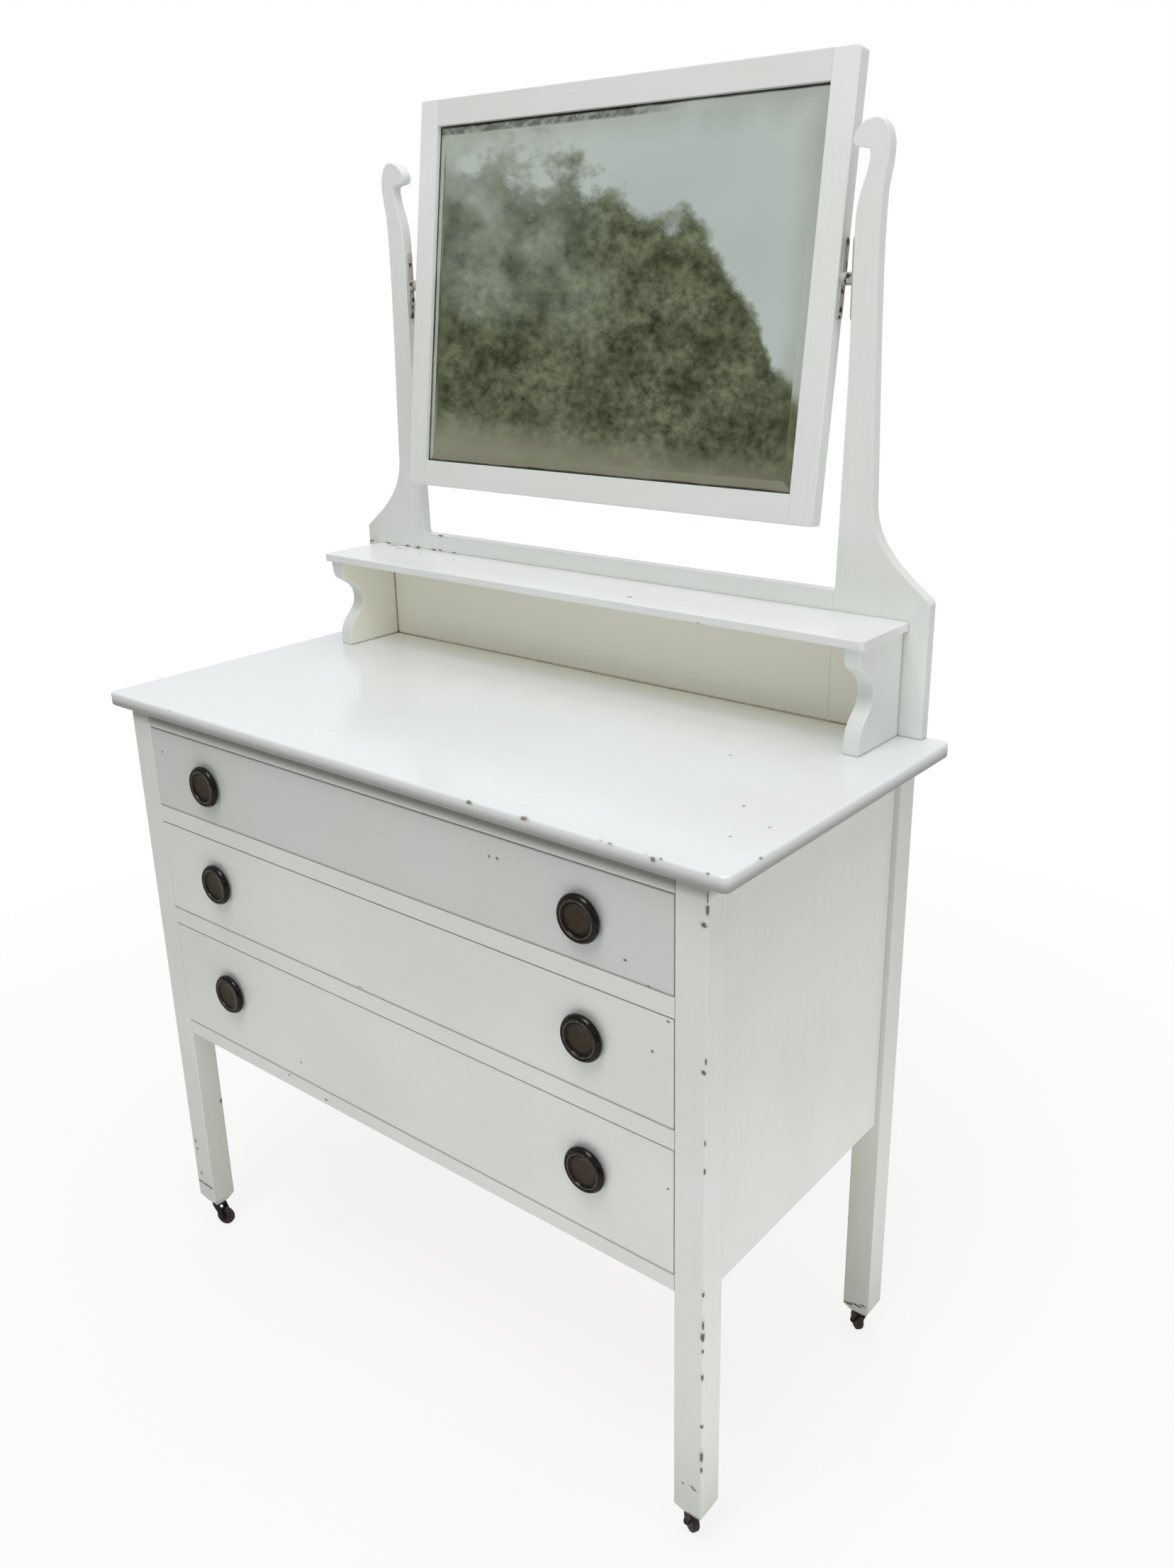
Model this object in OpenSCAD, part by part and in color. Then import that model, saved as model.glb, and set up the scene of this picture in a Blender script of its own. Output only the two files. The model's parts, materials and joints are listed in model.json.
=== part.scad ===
// Painted dressing chest: three long drawers on square legs with castors, a raised shelf
// on shaped brackets, and a bevelled mirror that swings between two shaped standards.
// Millimetres, +Z up, +X to the viewer's right, drawers opening towards -Y.
// The origin is on the floor, in the middle of the overall footprint.

/* [Top board] */
// Width of the top board, left to right
top_w = 914; // [900:1:980]
// Depth of the top board, front to back
top_d = 430; // [426:1:470]
// Thickness of the top board
top_t = 17; // [15:1:22]
// Height of the top board's upper face above the floor
top_h = 788; // [760:1:830]
// Overhang of the top board past the legs at each side
side_over = 27; // [10:1:40]
// Overhang of the top board past the drawer fronts
front_over = 12; // [6:1:30]
// Overhang of the top board past the back legs
back_over = 24; // [18:1:30]
// Radius worn on the edges of the top board
top_r = 3; // [1:0.5:5]
// Radius of the top board's corners, seen from above
top_corner = 8; // [5:0.5:14]

/* [Legs and case] */
// Width of a leg, left to right
leg_w = 35; // [33:1:45]
// Depth of a leg, front to back
leg_d = 32; // [30:1:40]
// Radius on the long edges of a leg
leg_r = 1.5; // [0.5:0.5:4]
// Height of the chamfer round the foot of a leg
toe_h = 12; // [6:1:16]
// How far that chamfer runs in at each side
toe_in = 6.5; // [3:0.5:7]
// Thickness of a side panel
panel_t = 12; // [9:0.5:14]
// How far a side panel lies behind the outer face of the legs
panel_in = 7; // [4:0.5:9]
// How far the edges of the panels are housed in the legs
tongue = 8; // [5:0.5:8]
// Thickness of the back panel
back_t = 8; // [6:0.5:8]
// How far the back panel lies in front of the back of the legs
back_in = 6; // [3:0.5:7]
// Height of the two back rails
back_rail_h = 40; // [30:1:60]
// Thickness of the two back rails
back_rail_t = 18; // [14:1:18]

/* [Front rails and runners] */
// Height of the top rail's front edge
top_rail_t = 19; // [16:1:24]
// Height of the two dividers between the drawers
divider_t = 22; // [18:1:28]
// Height of the bottom rail
bottom_rail_t = 19; // [16:1:24]
// Depth of the front rails, front to back
rail_d = 60; // [50:1:90]
// Length of the tenons on the rails
tenon_l = 13; // [8:1:14]
// Thickness of those tenons, front to back
tenon_t = 13; // [8:1:14]
// Shoulder above and below a tenon
shoulder = 3; // [2:0.5:5]
// How far a runner reaches in under the drawer, past the face of the legs
runner_in = 20; // [14:1:26]
// Height of the guide on a runner
guide_h = 18; // [10:1:30]
// Length of the stub tenon on a runner
stub_l = 10; // [6:1:14]
// Width of that stub tenon
stub_w = 14; // [8:1:16]
// Width of a drawer stop
stop_w = 30; // [20:1:40]
// Depth of a drawer stop
stop_d = 14; // [8:1:18]
// Height of a drawer stop
stop_h = 7; // [4:0.5:8]
// Distance of a drawer stop from the inner face of the leg
stop_side = 145; // [110:1:250]

/* [Drawers] */
// Height of the top drawer's opening
open_1 = 103; // [90:1:120]
// Height of the middle drawer's opening
open_2 = 119; // [100:1:140]
// Height of the bottom drawer's opening
open_3 = 144; // [120:1:160]
// Gap at each side of a drawer
side_gap = 1; // [0.5:0.1:1.5]
// Gap above a drawer
top_gap = 1.5; // [1:0.1:2.5]
// Gap between a drawer and what it slides on
slide_gap = 0.6; // [0.3:0.1:1]
// Thickness of a drawer front
front_t = 20; // [18:1:24]
// Gap between the ends of the drawer sides and the back rails
drawer_clear = 12; // [4:1:60]
// Thickness of the drawer sides
side_t = 10; // [9:0.5:13]
// How much lower the drawer sides and back are than the front
side_low = 4; // [2:1:10]
// Thickness of a drawer back
dback_t = 10; // [8:0.5:14]
// How far a drawer back lies in front of the ends of the sides
dback_in = 6; // [4:1:20]
// Thickness of a drawer bottom
bottom_t = 6; // [4:0.5:7]
// Height of a drawer bottom above the lower edge
bottom_up = 10; // [9:0.5:14]
// Depth of the grooves in the sides
groove = 4; // [3:0.5:5]
// Depth of the groove in the front
front_groove = 6; // [4:0.5:8]
// Length of the dovetails that join a side to the front
tail_l = 13; // [8:1:15]
// Flare of a dovetail, in degrees
tail_angle = 9; // [4:1:12]
// Radius on the edges of the drawer fronts and rails
arris = 1; // [0.4:0.1:2]

/* [Knobs] */
// Distance of the knobs from the inner faces of the legs
knob_side = 106.5; // [55:0.5:180]
// Diameter of a knob
knob_dia = 51; // [48:1:56]
// Projection of a knob from the drawer front
knob_proj = 10; // [8:0.5:24]
// Diameter of a knob's foot
knob_foot = 36; // [24:1:40]
// Diameter of the dished middle
dish_dia = 32; // [24:1:34]
// Depth of the dished middle
dish_deep = 3; // [2:0.5:5]
// Diameter of the bolt behind a knob
bolt_dia = 5; // [4:0.5:6]
// Width across the flats of the nut inside the drawer
nut_w = 10; // [8:1:12]
// Thickness of that nut
nut_t = 4; // [3:0.5:5]
// How far the top drawer's knobs sit above its middle
knob_up_1 = -2.5; // [-6:0.5:6]
// How far the middle drawer's knobs sit above its middle
knob_up_2 = 3; // [-6:0.5:8]
// How far the bottom drawer's knobs sit above its middle
knob_up_3 = 5.5; // [-6:0.5:10]

/* [Gallery and shelf] */
// Thickness of the standards and of the board between them
gal_t = 14; // [12:1:16]
// How far the gallery lies in front of the top board's back edge
gal_in = 1; // [0:1:8]
// Height of the board between the standards
gal_h = 149; // [140:1:155]
// Length of the tongues on that board
gal_tongue = 8; // [5:1:10]
// Thickness of those tongues
gal_tongue_t = 5; // [3:0.5:6]
// Distance of the shelf's ends from the ends of the top board
shelf_side = 49.5; // [30:0.5:60]
// Depth of the shelf
shelf_d = 101; // [99:1:120]
// Thickness of the shelf
shelf_t = 10; // [8:0.5:12]
// Height of the shelf's underside above the top board
shelf_z = 117; // [105:1:122]
// Radius worn on the edges of the shelf
shelf_r = 1.5; // [0.5:0.5:3]
// Radius of the shelf's front corners, seen from above
shelf_corner = 4; // [3:0.5:8]
// Thickness of a bracket
bracket_t = 19; // [14:1:22]
// Overhang of the shelf past the brackets
bracket_side = 5.5; // [4:0.5:16]
// Depth of a bracket at the top
bracket_top = 95; // [85:1:99]
// Depth of a bracket at its waist
bracket_waist = 61; // [55:1:75]
// Depth of a bracket at its foot
bracket_foot = 88; // [78:1:99]

/* [Standards] */
// Distance of a standard's foot from the end of the top board
foot_side = 27; // [20:1:36]
// Width of a standard at its foot
foot_w = 114; // [105:1:116]
// Height of the straight outer edge of that foot
foot_h = 148; // [130:1:160]
// Height at which the foot has narrowed to the post
waist_z = 245; // [230:1:260]
// Distance from the joint with the board to the inner edge of the post
post_in = 7; // [4:0.5:9]
// Width of the post at its narrowest
post_w = 27; // [25:1:36]
// Overall height of a standard
std_h = 614; // [600:1:640]
// Width of the rounded head
head_w = 41; // [39:1:48]
// Height of the rounded head
head_h = 64; // [56:1:72]

/* [Mirror] */
// Gap between the mirror frame and the posts
mir_gap = 17; // [15:0.5:22]
// Height of the frame above the pivots
mir_up = 217; // [180:1:225]
// Height of the frame below the pivots
mir_down = 250; // [200:1:260]
// Thickness of the frame
mir_t = 18; // [18:0.5:22]
// Width of the stiles
stile_w = 30.5; // [28:0.5:45]
// Height of the top rail of the frame
mir_top = 31; // [28:0.5:45]
// Height of the bottom rail of the frame
mir_bot = 32; // [28:0.5:50]
// Radius of the frame's corners
mir_corner = 5; // [2:0.5:8]
// Radius on the frame's outer and inner edges
mir_r = 1.5; // [0.5:0.5:2.5]
// Thickness of wood left in front of the glass
lip_t = 6; // [5:0.5:7]
// Width of the rebate behind that lip
rebate = 8; // [6:0.5:10]
// Thickness of the mirror glass
glass_t = 5; // [4:0.5:5]
// Width of the bevel that shows inside the frame
bevel_seen = 12; // [8:1:25]
// Depth of the bevel at the edge of the glass
bevel_deep = 2; // [1:0.5:2.5]
// Thickness of the backing board
backing_t = 7; // [5:0.5:7.5]
// Length of the tenons on the frame's rails
mir_tenon = 18; // [10:1:20]
// Height of the pivots above the top board
pivot_z = 468; // [440:1:480]
// Distance of the pivots behind the front of the standards
pivot_in = 9; // [7:0.5:10]
// Lean of the mirror to the back, in degrees
tilt = 7.8; // [0:0.1:15]

/* [Mirror movements] */
// Height of a movement plate
mv_h = 80; // [60:1:90]
// Width of a movement plate
mv_w = 9; // [8:0.5:10]
// Thickness of a movement plate
mv_t = 2.5; // [2:0.5:3]
// Diameter of the bosses on the plates
boss_dia = 13; // [12:0.5:14]
// Length of the boss on the frame's plate
boss_l = 5; // [3:0.5:7]
// Gap between the two bosses
boss_gap = 0.5; // [0.3:0.1:1]
// Diameter of the pivot pin
pin_dia = 7; // [5:0.5:8]
// Distance of a plate's screws from the pivot
mv_screw = 30; // [20:1:36]

/* [Castors] */
// Height of a castor from the floor to the foot of the leg
castor_h = 38; // [36:1:46]
// Diameter of a castor wheel
wheel_dia = 25; // [22:1:28]
// Width of a castor wheel
wheel_w = 11; // [8:0.5:13]
// Distance of the wheel's axle from the swivel
trail = 10; // [5:0.5:11]
// Diameter of the round plate under the leg
plate_dia = 17.5; // [16:0.5:20]
// Thickness of that plate
plate_t = 2; // [1.5:0.5:3]
// Diameter of the stem in the leg
stem_dia = 8; // [6:0.5:10]
// Length of the stem in the leg
stem_l = 30; // [20:1:40]
// Diameter of the swivel pin
swivel_dia = 5.5; // [5:0.5:6]
// Diameter of the fork's crown
crown_dia = 17; // [16:0.5:20]
// Thickness of the fork's crown
crown_t = 3; // [2:0.5:4]
// Thickness of a cheek of the fork
cheek_t = 2; // [1.5:0.5:2.5]
// Diameter of the axle
axle_dia = 3.4; // [3:0.2:5]
// Direction in which the front left wheel trails, in degrees from +X
turn_fl = 20; // [0:1:359]
// Direction in which the front right wheel trails
turn_fr = 150; // [0:1:359]
// Direction in which the back left wheel trails
turn_bl = 120; // [0:1:359]
// Direction in which the back right wheel trails
turn_br = 140; // [0:1:359]

/* [Fits and fixings] */
// Gap round glued joints
glue_gap = 0.1; // [0.05:0.05:0.2]
// Running clearance of pins and axles, on the radius
run_fit = 0.05; // [0.02:0.01:0.1]
// Clearance between moving faces of a castor or movement
face_gap = 0.4; // [0.3:0.1:0.8]
// Diameter of the long screws
screw_dia = 4; // [3:0.5:5]
// Distance of the outer screws in the top rail from the legs
top_screw_side = 135; // [60:1:250]
// Distance of a standard's screws from the ends of its foot
std_screw_side = 24; // [16:1:40]
// Distance of the outer screws of the shelf from the joints of the gallery board
shelf_screw_side = 116; // [60:1:200]
// Distance of the first dowel under a bracket from the gallery
dowel_first = 22; // [12:1:30]
// Distance between the two dowels under a bracket
dowel_pitch = 30; // [20:1:50]
// Length of the screws that hold the top board
top_screw_l = 30; // [24:1:34]
// Length of the screws that hold the standards
std_screw_l = 42; // [30:1:60]
// Diameter of the small screws
small_dia = 3; // [2.5:0.5:3.5]
// Length of the small screws
small_l = 16; // [12:1:22]
// Length of the screws in the back of the shelf
shelf_screw_l = 34; // [24:1:44]
// Diameter of the dowels under the brackets
dowel_dia = 6; // [5:0.5:8]
// Length of those dowels
dowel_l = 20; // [14:1:26]

/* [Hidden] */
fine = 48;
// Heights
z_under = top_h - top_t;
z_open_1 = z_under - top_rail_t - open_1;
z_div_1 = z_open_1 - divider_t;
z_open_2 = z_div_1 - open_2;
z_div_2 = z_open_2 - divider_t;
z_open_3 = z_div_2 - open_3;
case_bot = z_open_3 - bottom_rail_t;
foot_z = castor_h;
// Side to side
case_w = top_w - 2 * side_over;
inner_x = case_w / 2 - leg_w;
panel_x = case_w / 2 - panel_in - panel_t;
runner_x = inner_x - runner_in;
gal_w = top_w - 2 * (foot_side + foot_w);
joint_x = gal_w / 2;
post_x = joint_x + post_in;
mir_w = 2 * (post_x - mir_gap);
shelf_w = top_w - 2 * shelf_side;
bracket_x = shelf_w / 2 - bracket_side;
knob_x = inner_x - knob_side;
stop_x = inner_x - stop_side;
// Front to back: the overall depth runs from the top board's edge, or from the knobs where
// they stand out further, to the top of the leaning mirror
gal_front = top_d - gal_in - gal_t;
y_reach = gal_front + pivot_in + mir_up * sin(tilt) + mir_t / 2 * cos(tilt);
yf = -(y_reach + min(0, front_over - knob_proj)) / 2;
y_case = yf + front_over;
y_back = yf + top_d - back_over;
y_legb = y_back - leg_d;
y_panel = y_back - back_in - back_t;
y_gal = yf + gal_front;
y_pivot = y_gal + pivot_in;
z_pivot = top_h + pivot_z;
// Drawers
drawer_w = 2 * (inner_x - side_gap);
drawer_l = y_panel - back_rail_t - drawer_clear - y_case;
opens = [open_1, open_2, open_3];
floors = [z_open_1, z_open_2, z_open_3];
knob_ups = [knob_up_1, knob_up_2, knob_up_3];
// Rails: lower face and height of each
rail_z = [z_under - top_rail_t, z_div_1, z_div_2, case_bot];
rail_t = [top_rail_t, divider_t, divider_t, bottom_rail_t];
tenon_y = 6;
// Glass: the lip of the frame bears on the bevel, so the middle stands forward of that lip
glass_w = mir_w - 2 * stile_w + 2 * (rebate - face_gap);
glass_h = mir_up + mir_down - mir_top - mir_bot + 2 * (rebate - face_gap);
glass_y = -mir_t / 2 + lip_t + glue_gap
  - bevel_deep * (1 - (rebate - face_gap) / (bevel_seen + rebate));
glass_z = -mir_down + mir_bot - rebate + face_gap;
// Castors
leg_x = case_w / 2 - leg_w / 2;
leg_yf = y_case + leg_d / 2;
leg_yb = y_back - leg_d / 2;
rivet_h = 1;
// Screws: the top board is held through the top rail and the kickers
top_screws = [for (s = [-1, 0, 1]) [s * (inner_x - top_screw_side), y_case + rail_d * 0.6]];
kick_screws = [for (s = [-1, 1])
  [s * (inner_x - runner_in / 2), (y_case + rail_d + y_legb) / 2]];
std_screws = [for (s = [-1, 1], u = [std_screw_side, foot_w - std_screw_side])
  [s * (joint_x + u), y_gal + gal_t / 2]];
shelf_screws = [for (s = [-1, 0, 1]) s * (joint_x - shelf_screw_side)];
dowels_y = [y_gal - dowel_first, y_gal - dowel_first - dowel_pitch];

paint = [0.90, 0.91, 0.88];
cream = [0.86, 0.85, 0.77];
pine = [0.80, 0.68, 0.48];
dark = [0.13, 0.11, 0.10];
steel = [0.55, 0.55, 0.53];

// Points along a cubic curve, the first one left out
function bez(a, b, c, d, n = 8) = [for (i = [1:n]) let (t = i / n, s = 1 - t)
  s * s * s * a + 3 * s * s * t * b + 3 * s * t * t * c + t * t * t * d];

// Flat shapes
module rrect(w, h, r) {
  translate([r, 0]) square([w - 2 * r, h]);
  translate([0, r]) square([w, h - 2 * r]);
  for (x = [r, w - r], y = [r, h - r])
    translate([x, y]) circle(r = r, $fn = fine);
}

// A rectangle whose first edge has rounded corners, the other staying square
module nose(d, h, r) {
  translate([r, 0]) square([d - r, h]);
  translate([0, r]) square([d, h - 2 * r]);
  for (z = [r, h - r])
    translate([r, z]) circle(r = r, $fn = fine);
}

// Extrusions: a flat shape drawn in Y and Z, run along X, and one drawn in X and Z, run along Y
module along_x(l) {
  rotate([90, 0, 90]) linear_extrude(l) children();
}

module along_y(l) {
  translate([0, l, 0]) rotate([90, 0, 0]) linear_extrude(l) children();
}

// A board with all its edges softened and its corners rounded
module soft_board(w, d, h, r, corner) {
  intersection() {
    linear_extrude(h) rrect(w, d, corner);
    along_y(d) rrect(w, h, r);
    along_x(w) rrect(d, h, r);
  }
}

// A board whose face towards -Y has softened edges
module faced_board(w, d, h, r) {
  intersection() {
    along_x(w) nose(d, h, r);
    rotate([0, 0, 90]) mirror([0, 1, 0]) linear_extrude(h) nose(d, w, r);
  }
}

// A countersunk screw pointing up, its head's face at the origin
module screw(d, l, grow = 0) {
  rotate_extrude($fn = fine)
    polygon([[0, -grow], [d + grow, -grow], [d + grow, 0.3], [d / 2 + grow, d / 2 + 0.5],
      [d / 2 + grow, l - d / 2 + grow], [d / 4 + grow, l + grow], [0, l + grow]]);
}

module slotted_screw(d, l) {
  difference() {
    screw(d, l);
    translate([-d * 1.5, -d * 0.12, -1]) cube([d * 3, d * 0.24, 1 + d * 0.2]);
  }
}

// Legs
module leg_blank() {
  h = z_under - foot_z;
  intersection() {
    linear_extrude(h) rrect(leg_w, leg_d, leg_r);
    along_y(leg_d) polygon([[toe_in, 0], [leg_w - toe_in, 0], [leg_w, toe_h], [leg_w, h],
      [0, h], [0, toe_h]]);
    along_x(leg_w) polygon([[toe_in, 0], [leg_d - toe_in, 0], [leg_d, toe_h], [leg_d, h],
      [0, h], [0, toe_h]]);
  }
}

module stem_bore(x, y) {
  translate([x, y, foot_z - 1])
    cylinder(d = stem_dia + 2 * run_fit, h = stem_l + 1 + face_gap, $fn = fine);
}

module front_leg() {
  difference() {
    translate([inner_x, y_case, foot_z]) leg_blank();
    translate([panel_x - glue_gap, y_case + leg_d - tongue, case_bot - glue_gap])
      cube([panel_t + 2 * glue_gap, tongue + 1, z_under - case_bot + 1]);
    for (i = [0:3]) rail_tenon(rail_z[i], rail_t[i], glue_gap);
    stem_bore(leg_x, leg_yf);
  }
}

module back_leg() {
  difference() {
    translate([inner_x, y_legb, foot_z]) leg_blank();
    translate([panel_x - glue_gap, y_legb - 1, case_bot - glue_gap])
      cube([panel_t + 2 * glue_gap, tongue + 1, z_under - case_bot + 1]);
    translate([inner_x - 1, y_panel - glue_gap, case_bot - glue_gap])
      cube([tongue + 1, back_t + 2 * glue_gap, z_under - case_bot + 1]);
    for (z = [case_bot, z_under - back_rail_h]) back_tenon(z, glue_gap);
    stem_bore(leg_x, leg_yb);
  }
}

module leg_front_left() { color(paint) mirror([1, 0, 0]) front_leg(); }
module leg_front_right() { color(paint) front_leg(); }
module leg_back_left() { color(paint) mirror([1, 0, 0]) back_leg(); }
module leg_back_right() { color(paint) back_leg(); }

// Panels, housed in grooves in the legs
module side_panel() {
  l = y_legb - y_case - leg_d + 2 * (tongue - glue_gap);
  translate([panel_x, y_case + leg_d - tongue + glue_gap, case_bot])
    cube([panel_t, l, z_under - case_bot]);
}

module side_panel_left() { color(paint) mirror([1, 0, 0]) side_panel(); }
module side_panel_right() { color(paint) side_panel(); }

module back_panel() {
  w = inner_x + tongue - glue_gap;
  color(pine) translate([-w, y_panel, case_bot]) cube([2 * w, back_t, z_under - case_bot]);
}

// Rails. A tenon is drawn on the right, and grown by the gap where it cuts its mortise
module rail_tenon(z, t, grow = 0) {
  translate([inner_x - 1, y_case + tenon_y - grow, z + shoulder - grow])
    cube([tenon_l + 1 + 2 * grow, tenon_t + 2 * grow, t - 2 * shoulder + 2 * grow]);
}

module back_tenon(z, grow = 0) {
  translate([inner_x - 1, y_panel - back_rail_t + shoulder - grow, z + shoulder - grow])
    cube([tenon_l + 1 + 2 * grow, back_rail_t - 2 * shoulder - 2 + 2 * grow,
      back_rail_h - 2 * shoulder + 2 * grow]);
}

module stub(z, t, grow = 0) {
  translate([runner_x + 3 - grow, y_case + rail_d - stub_l - grow, z + t / 3 - grow])
    cube([stub_w + 2 * grow, stub_l + 1 + grow, t / 3 + 2 * grow]);
}

module front_rail(i) {
  difference() {
    union() {
      translate([-inner_x, y_case, rail_z[i]]) along_x(2 * inner_x) nose(rail_d, rail_t[i], arris);
      for (m = [0, 1]) mirror([m, 0, 0]) rail_tenon(rail_z[i], rail_t[i]);
    }
    for (m = [0, 1]) mirror([m, 0, 0]) stub(rail_z[i], rail_t[i], glue_gap);
  }
}

module top_rail() {
  color(paint) difference() {
    front_rail(0);
    for (p = top_screws) translate([p.x, p.y, rail_z[0]]) screw(screw_dia, top_screw_l, run_fit);
  }
}

module divider_upper() { color(paint) front_rail(1); }
module divider_lower() { color(paint) front_rail(2); }
module bottom_rail() { color(paint) front_rail(3); }

module back_rail(z) {
  translate([-inner_x, y_panel - back_rail_t, z]) cube([2 * inner_x, back_rail_t, back_rail_h]);
  for (m = [0, 1]) mirror([m, 0, 0]) back_tenon(z);
}

module back_rail_top() { color(pine) union() back_rail(z_under - back_rail_h); }
module back_rail_bottom() { color(pine) union() back_rail(case_bot); }

// Runners with their guides, one pair under each drawer, and the kickers over the top one
module runner(i) {
  l = y_legb - y_case - rail_d;
  z = rail_z[i] + rail_t[i];
  union() {
    translate([0, y_case + rail_d, 0]) along_y(l)
      polygon([[runner_x, rail_z[i]], [panel_x, rail_z[i]], [panel_x, z + guide_h],
        [inner_x, z + guide_h], [inner_x, z], [runner_x, z]]);
    stub(rail_z[i], rail_t[i]);
  }
}

module runners_left() { color(pine) for (i = [1:3]) mirror([1, 0, 0]) runner(i); }
module runners_right() { color(pine) for (i = [1:3]) runner(i); }

module kicker() {
  difference() {
    union() {
      translate([runner_x, y_case + rail_d, rail_z[0]])
        cube([panel_x - runner_x, y_legb - y_case - rail_d, top_rail_t]);
      stub(rail_z[0], top_rail_t);
    }
    translate([kick_screws[1].x, kick_screws[1].y, rail_z[0]])
      screw(screw_dia, top_screw_l, run_fit);
  }
}

module kickers() { color(pine) for (m = [0, 1]) mirror([m, 0, 0]) kicker(); }

module drawer_stops() {
  color(pine) for (z = floors, s = [-1, 1])
    translate([s * stop_x - stop_w / 2, y_case + front_t + face_gap, z])
      cube([stop_w, stop_d, stop_h]);
}

// Top board
module top_board() {
  color(paint) difference() {
    translate([-top_w / 2, yf, z_under]) soft_board(top_w, top_d, top_t, top_r, top_corner);
    for (p = concat(top_screws, kick_screws))
      translate([p.x, p.y, rail_z[0]]) screw(screw_dia, top_screw_l, run_fit);
    for (p = std_screws) translate([p.x, p.y, z_under]) screw(screw_dia, std_screw_l, run_fit);
    for (s = [-1, 1], y = dowels_y) bracket_dowel(s, y, run_fit);
  }
}

// Gallery
module gallery_board() {
  color(cream) difference() {
    union() {
      translate([-joint_x, y_gal, top_h]) cube([gal_w, gal_t, gal_h]);
      for (m = [0, 1]) mirror([m, 0, 0]) gallery_tongue();
    }
    for (x = shelf_screws) shelf_screw(x, run_fit);
  }
}

module gallery_tongue(grow = 0) {
  translate([joint_x - 1, y_gal + gal_t / 2 - gal_tongue_t / 2 - grow, top_h - grow])
    cube([gal_tongue + 1 + grow, gal_tongue_t + 2 * grow, gal_h - 30 + 2 * grow]);
}

module shelf_screw(x, grow = 0) {
  translate([x, y_gal + gal_t, top_h + shelf_z + shelf_t / 2]) rotate([90, 0, 0])
    screw(small_dia, shelf_screw_l, grow);
}

// The outline of the right standard: across from the joint with the board, and up from the top
function std_pts() = let (
    top = std_h,
    out = post_in + post_w,
    neck = top - head_h,
    post_l = neck - waist_z,
    nose_z = top - head_h * 0.37)
  concat(
    [[0, 0], [foot_w, 0], [foot_w, foot_h], [foot_w - 3, foot_h + 4]],
    bez([foot_w - 3, foot_h + 4], [foot_w * 0.7, foot_h + (waist_z - foot_h) * 0.29],
      [out + 10, waist_z - (waist_z - foot_h) * 0.46], [out + 8, waist_z], 12),
    bez([out + 8, waist_z], [out + 5, waist_z + post_l * 0.345],
      [out - 2, neck - post_l * 0.23], [out + 2, neck], 10),
    bez([out + 2, neck], [out + 4, neck + head_h * 0.22],
      [head_w + 1, neck + head_h * 0.42], [head_w, neck + head_h * 0.66], 8),
    bez([head_w, neck + head_h * 0.66], [head_w - 1, neck + head_h * 0.8],
      [head_w - 6, top - 1], [head_w - 14, top], 7),
    bez([head_w - 14, top], [head_w - 21, top], [post_in + 6, top - 1],
      [post_in + 1, top - head_h * 0.1], 6),
    bez([post_in + 1, top - head_h * 0.1], [post_in - 5, top - head_h * 0.17],
      [post_in - 8, nose_z + head_h * 0.1], [post_in - 5, nose_z + 1], 8),
    bez([post_in - 5, nose_z + 1], [post_in - 2, nose_z - 3], [post_in + 6, nose_z - 1.5],
      [post_in + 12, nose_z - 4], 6),
    bez([post_in + 12, nose_z - 4], [post_in + 15, nose_z - 6],
      [post_in + 13, nose_z - head_h * 0.28], [post_in + 9, nose_z - head_h * 0.46], 6),
    bez([post_in + 9, nose_z - head_h * 0.46], [post_in + 5, nose_z - head_h * 0.64],
      [post_in, nose_z - head_h * 0.85], [post_in, nose_z - head_h * 1.15], 6),
    [[post_in, waist_z + post_l * 0.42], [2, gal_h + 4], [0, gal_h]]);

module standard() {
  difference() {
    translate([joint_x, y_gal, top_h]) along_y(gal_t) polygon(std_pts());
    gallery_tongue(glue_gap);
    for (p = [std_screws[2], std_screws[3]])
      translate([p.x, p.y, z_under]) screw(screw_dia, std_screw_l, run_fit);
    for (s = [-1, 1]) plate_screw(s, run_fit);
  }
}

module standard_left() { color(paint) mirror([1, 0, 0]) standard(); }
module standard_right() { color(paint) standard(); }

module shelf() {
  color(paint) difference() {
    translate([-shelf_w / 2, y_gal - shelf_d, top_h + shelf_z])
      intersection() {
        along_x(shelf_w) nose(shelf_d - glue_gap, shelf_t, shelf_r);
        along_y(shelf_d) rrect(shelf_w, shelf_t, shelf_r);
        rotate([0, 0, 90]) mirror([0, 1, 0]) linear_extrude(shelf_t)
          nose(shelf_d, shelf_w, shelf_corner);
      }
    for (x = shelf_screws) shelf_screw(x, run_fit);
  }
}

// Brackets: the outline is drawn forwards from the gallery and up from the top board
function bracket_pts() = let (mid = shelf_z * 0.53)
  concat(
    [[0, 0], [0, shelf_z], [-bracket_top, shelf_z], [-bracket_top + 2, shelf_z - 17]],
    bez([-bracket_top + 2, shelf_z - 17], [-bracket_top + 5, mid + 24],
      [-bracket_waist - 1, mid + 26], [-bracket_waist, mid], 12),
    bez([-bracket_waist, mid], [-bracket_waist, mid - 20],
      [-bracket_foot + 4, mid - 22], [-bracket_foot + 1, 16], 12),
    [[-bracket_foot, 0]]);

module bracket() {
  difference() {
    translate([bracket_x - bracket_t, y_gal, top_h]) along_x(bracket_t) polygon(bracket_pts());
    for (y = dowels_y) bracket_dowel(1, y, run_fit);
  }
}

module bracket_left() { color(paint) mirror([1, 0, 0]) bracket(); }
module bracket_right() { color(paint) bracket(); }

module bracket_dowel(s, y, grow = 0) {
  translate([s * (bracket_x - bracket_t / 2), y, top_h - dowel_l / 2 - grow])
    cylinder(d = dowel_dia + 2 * grow, h = dowel_l + 2 * grow, $fn = fine);
}

module bracket_dowels() {
  color(pine) for (s = [-1, 1], y = dowels_y) bracket_dowel(s, y);
}

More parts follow.
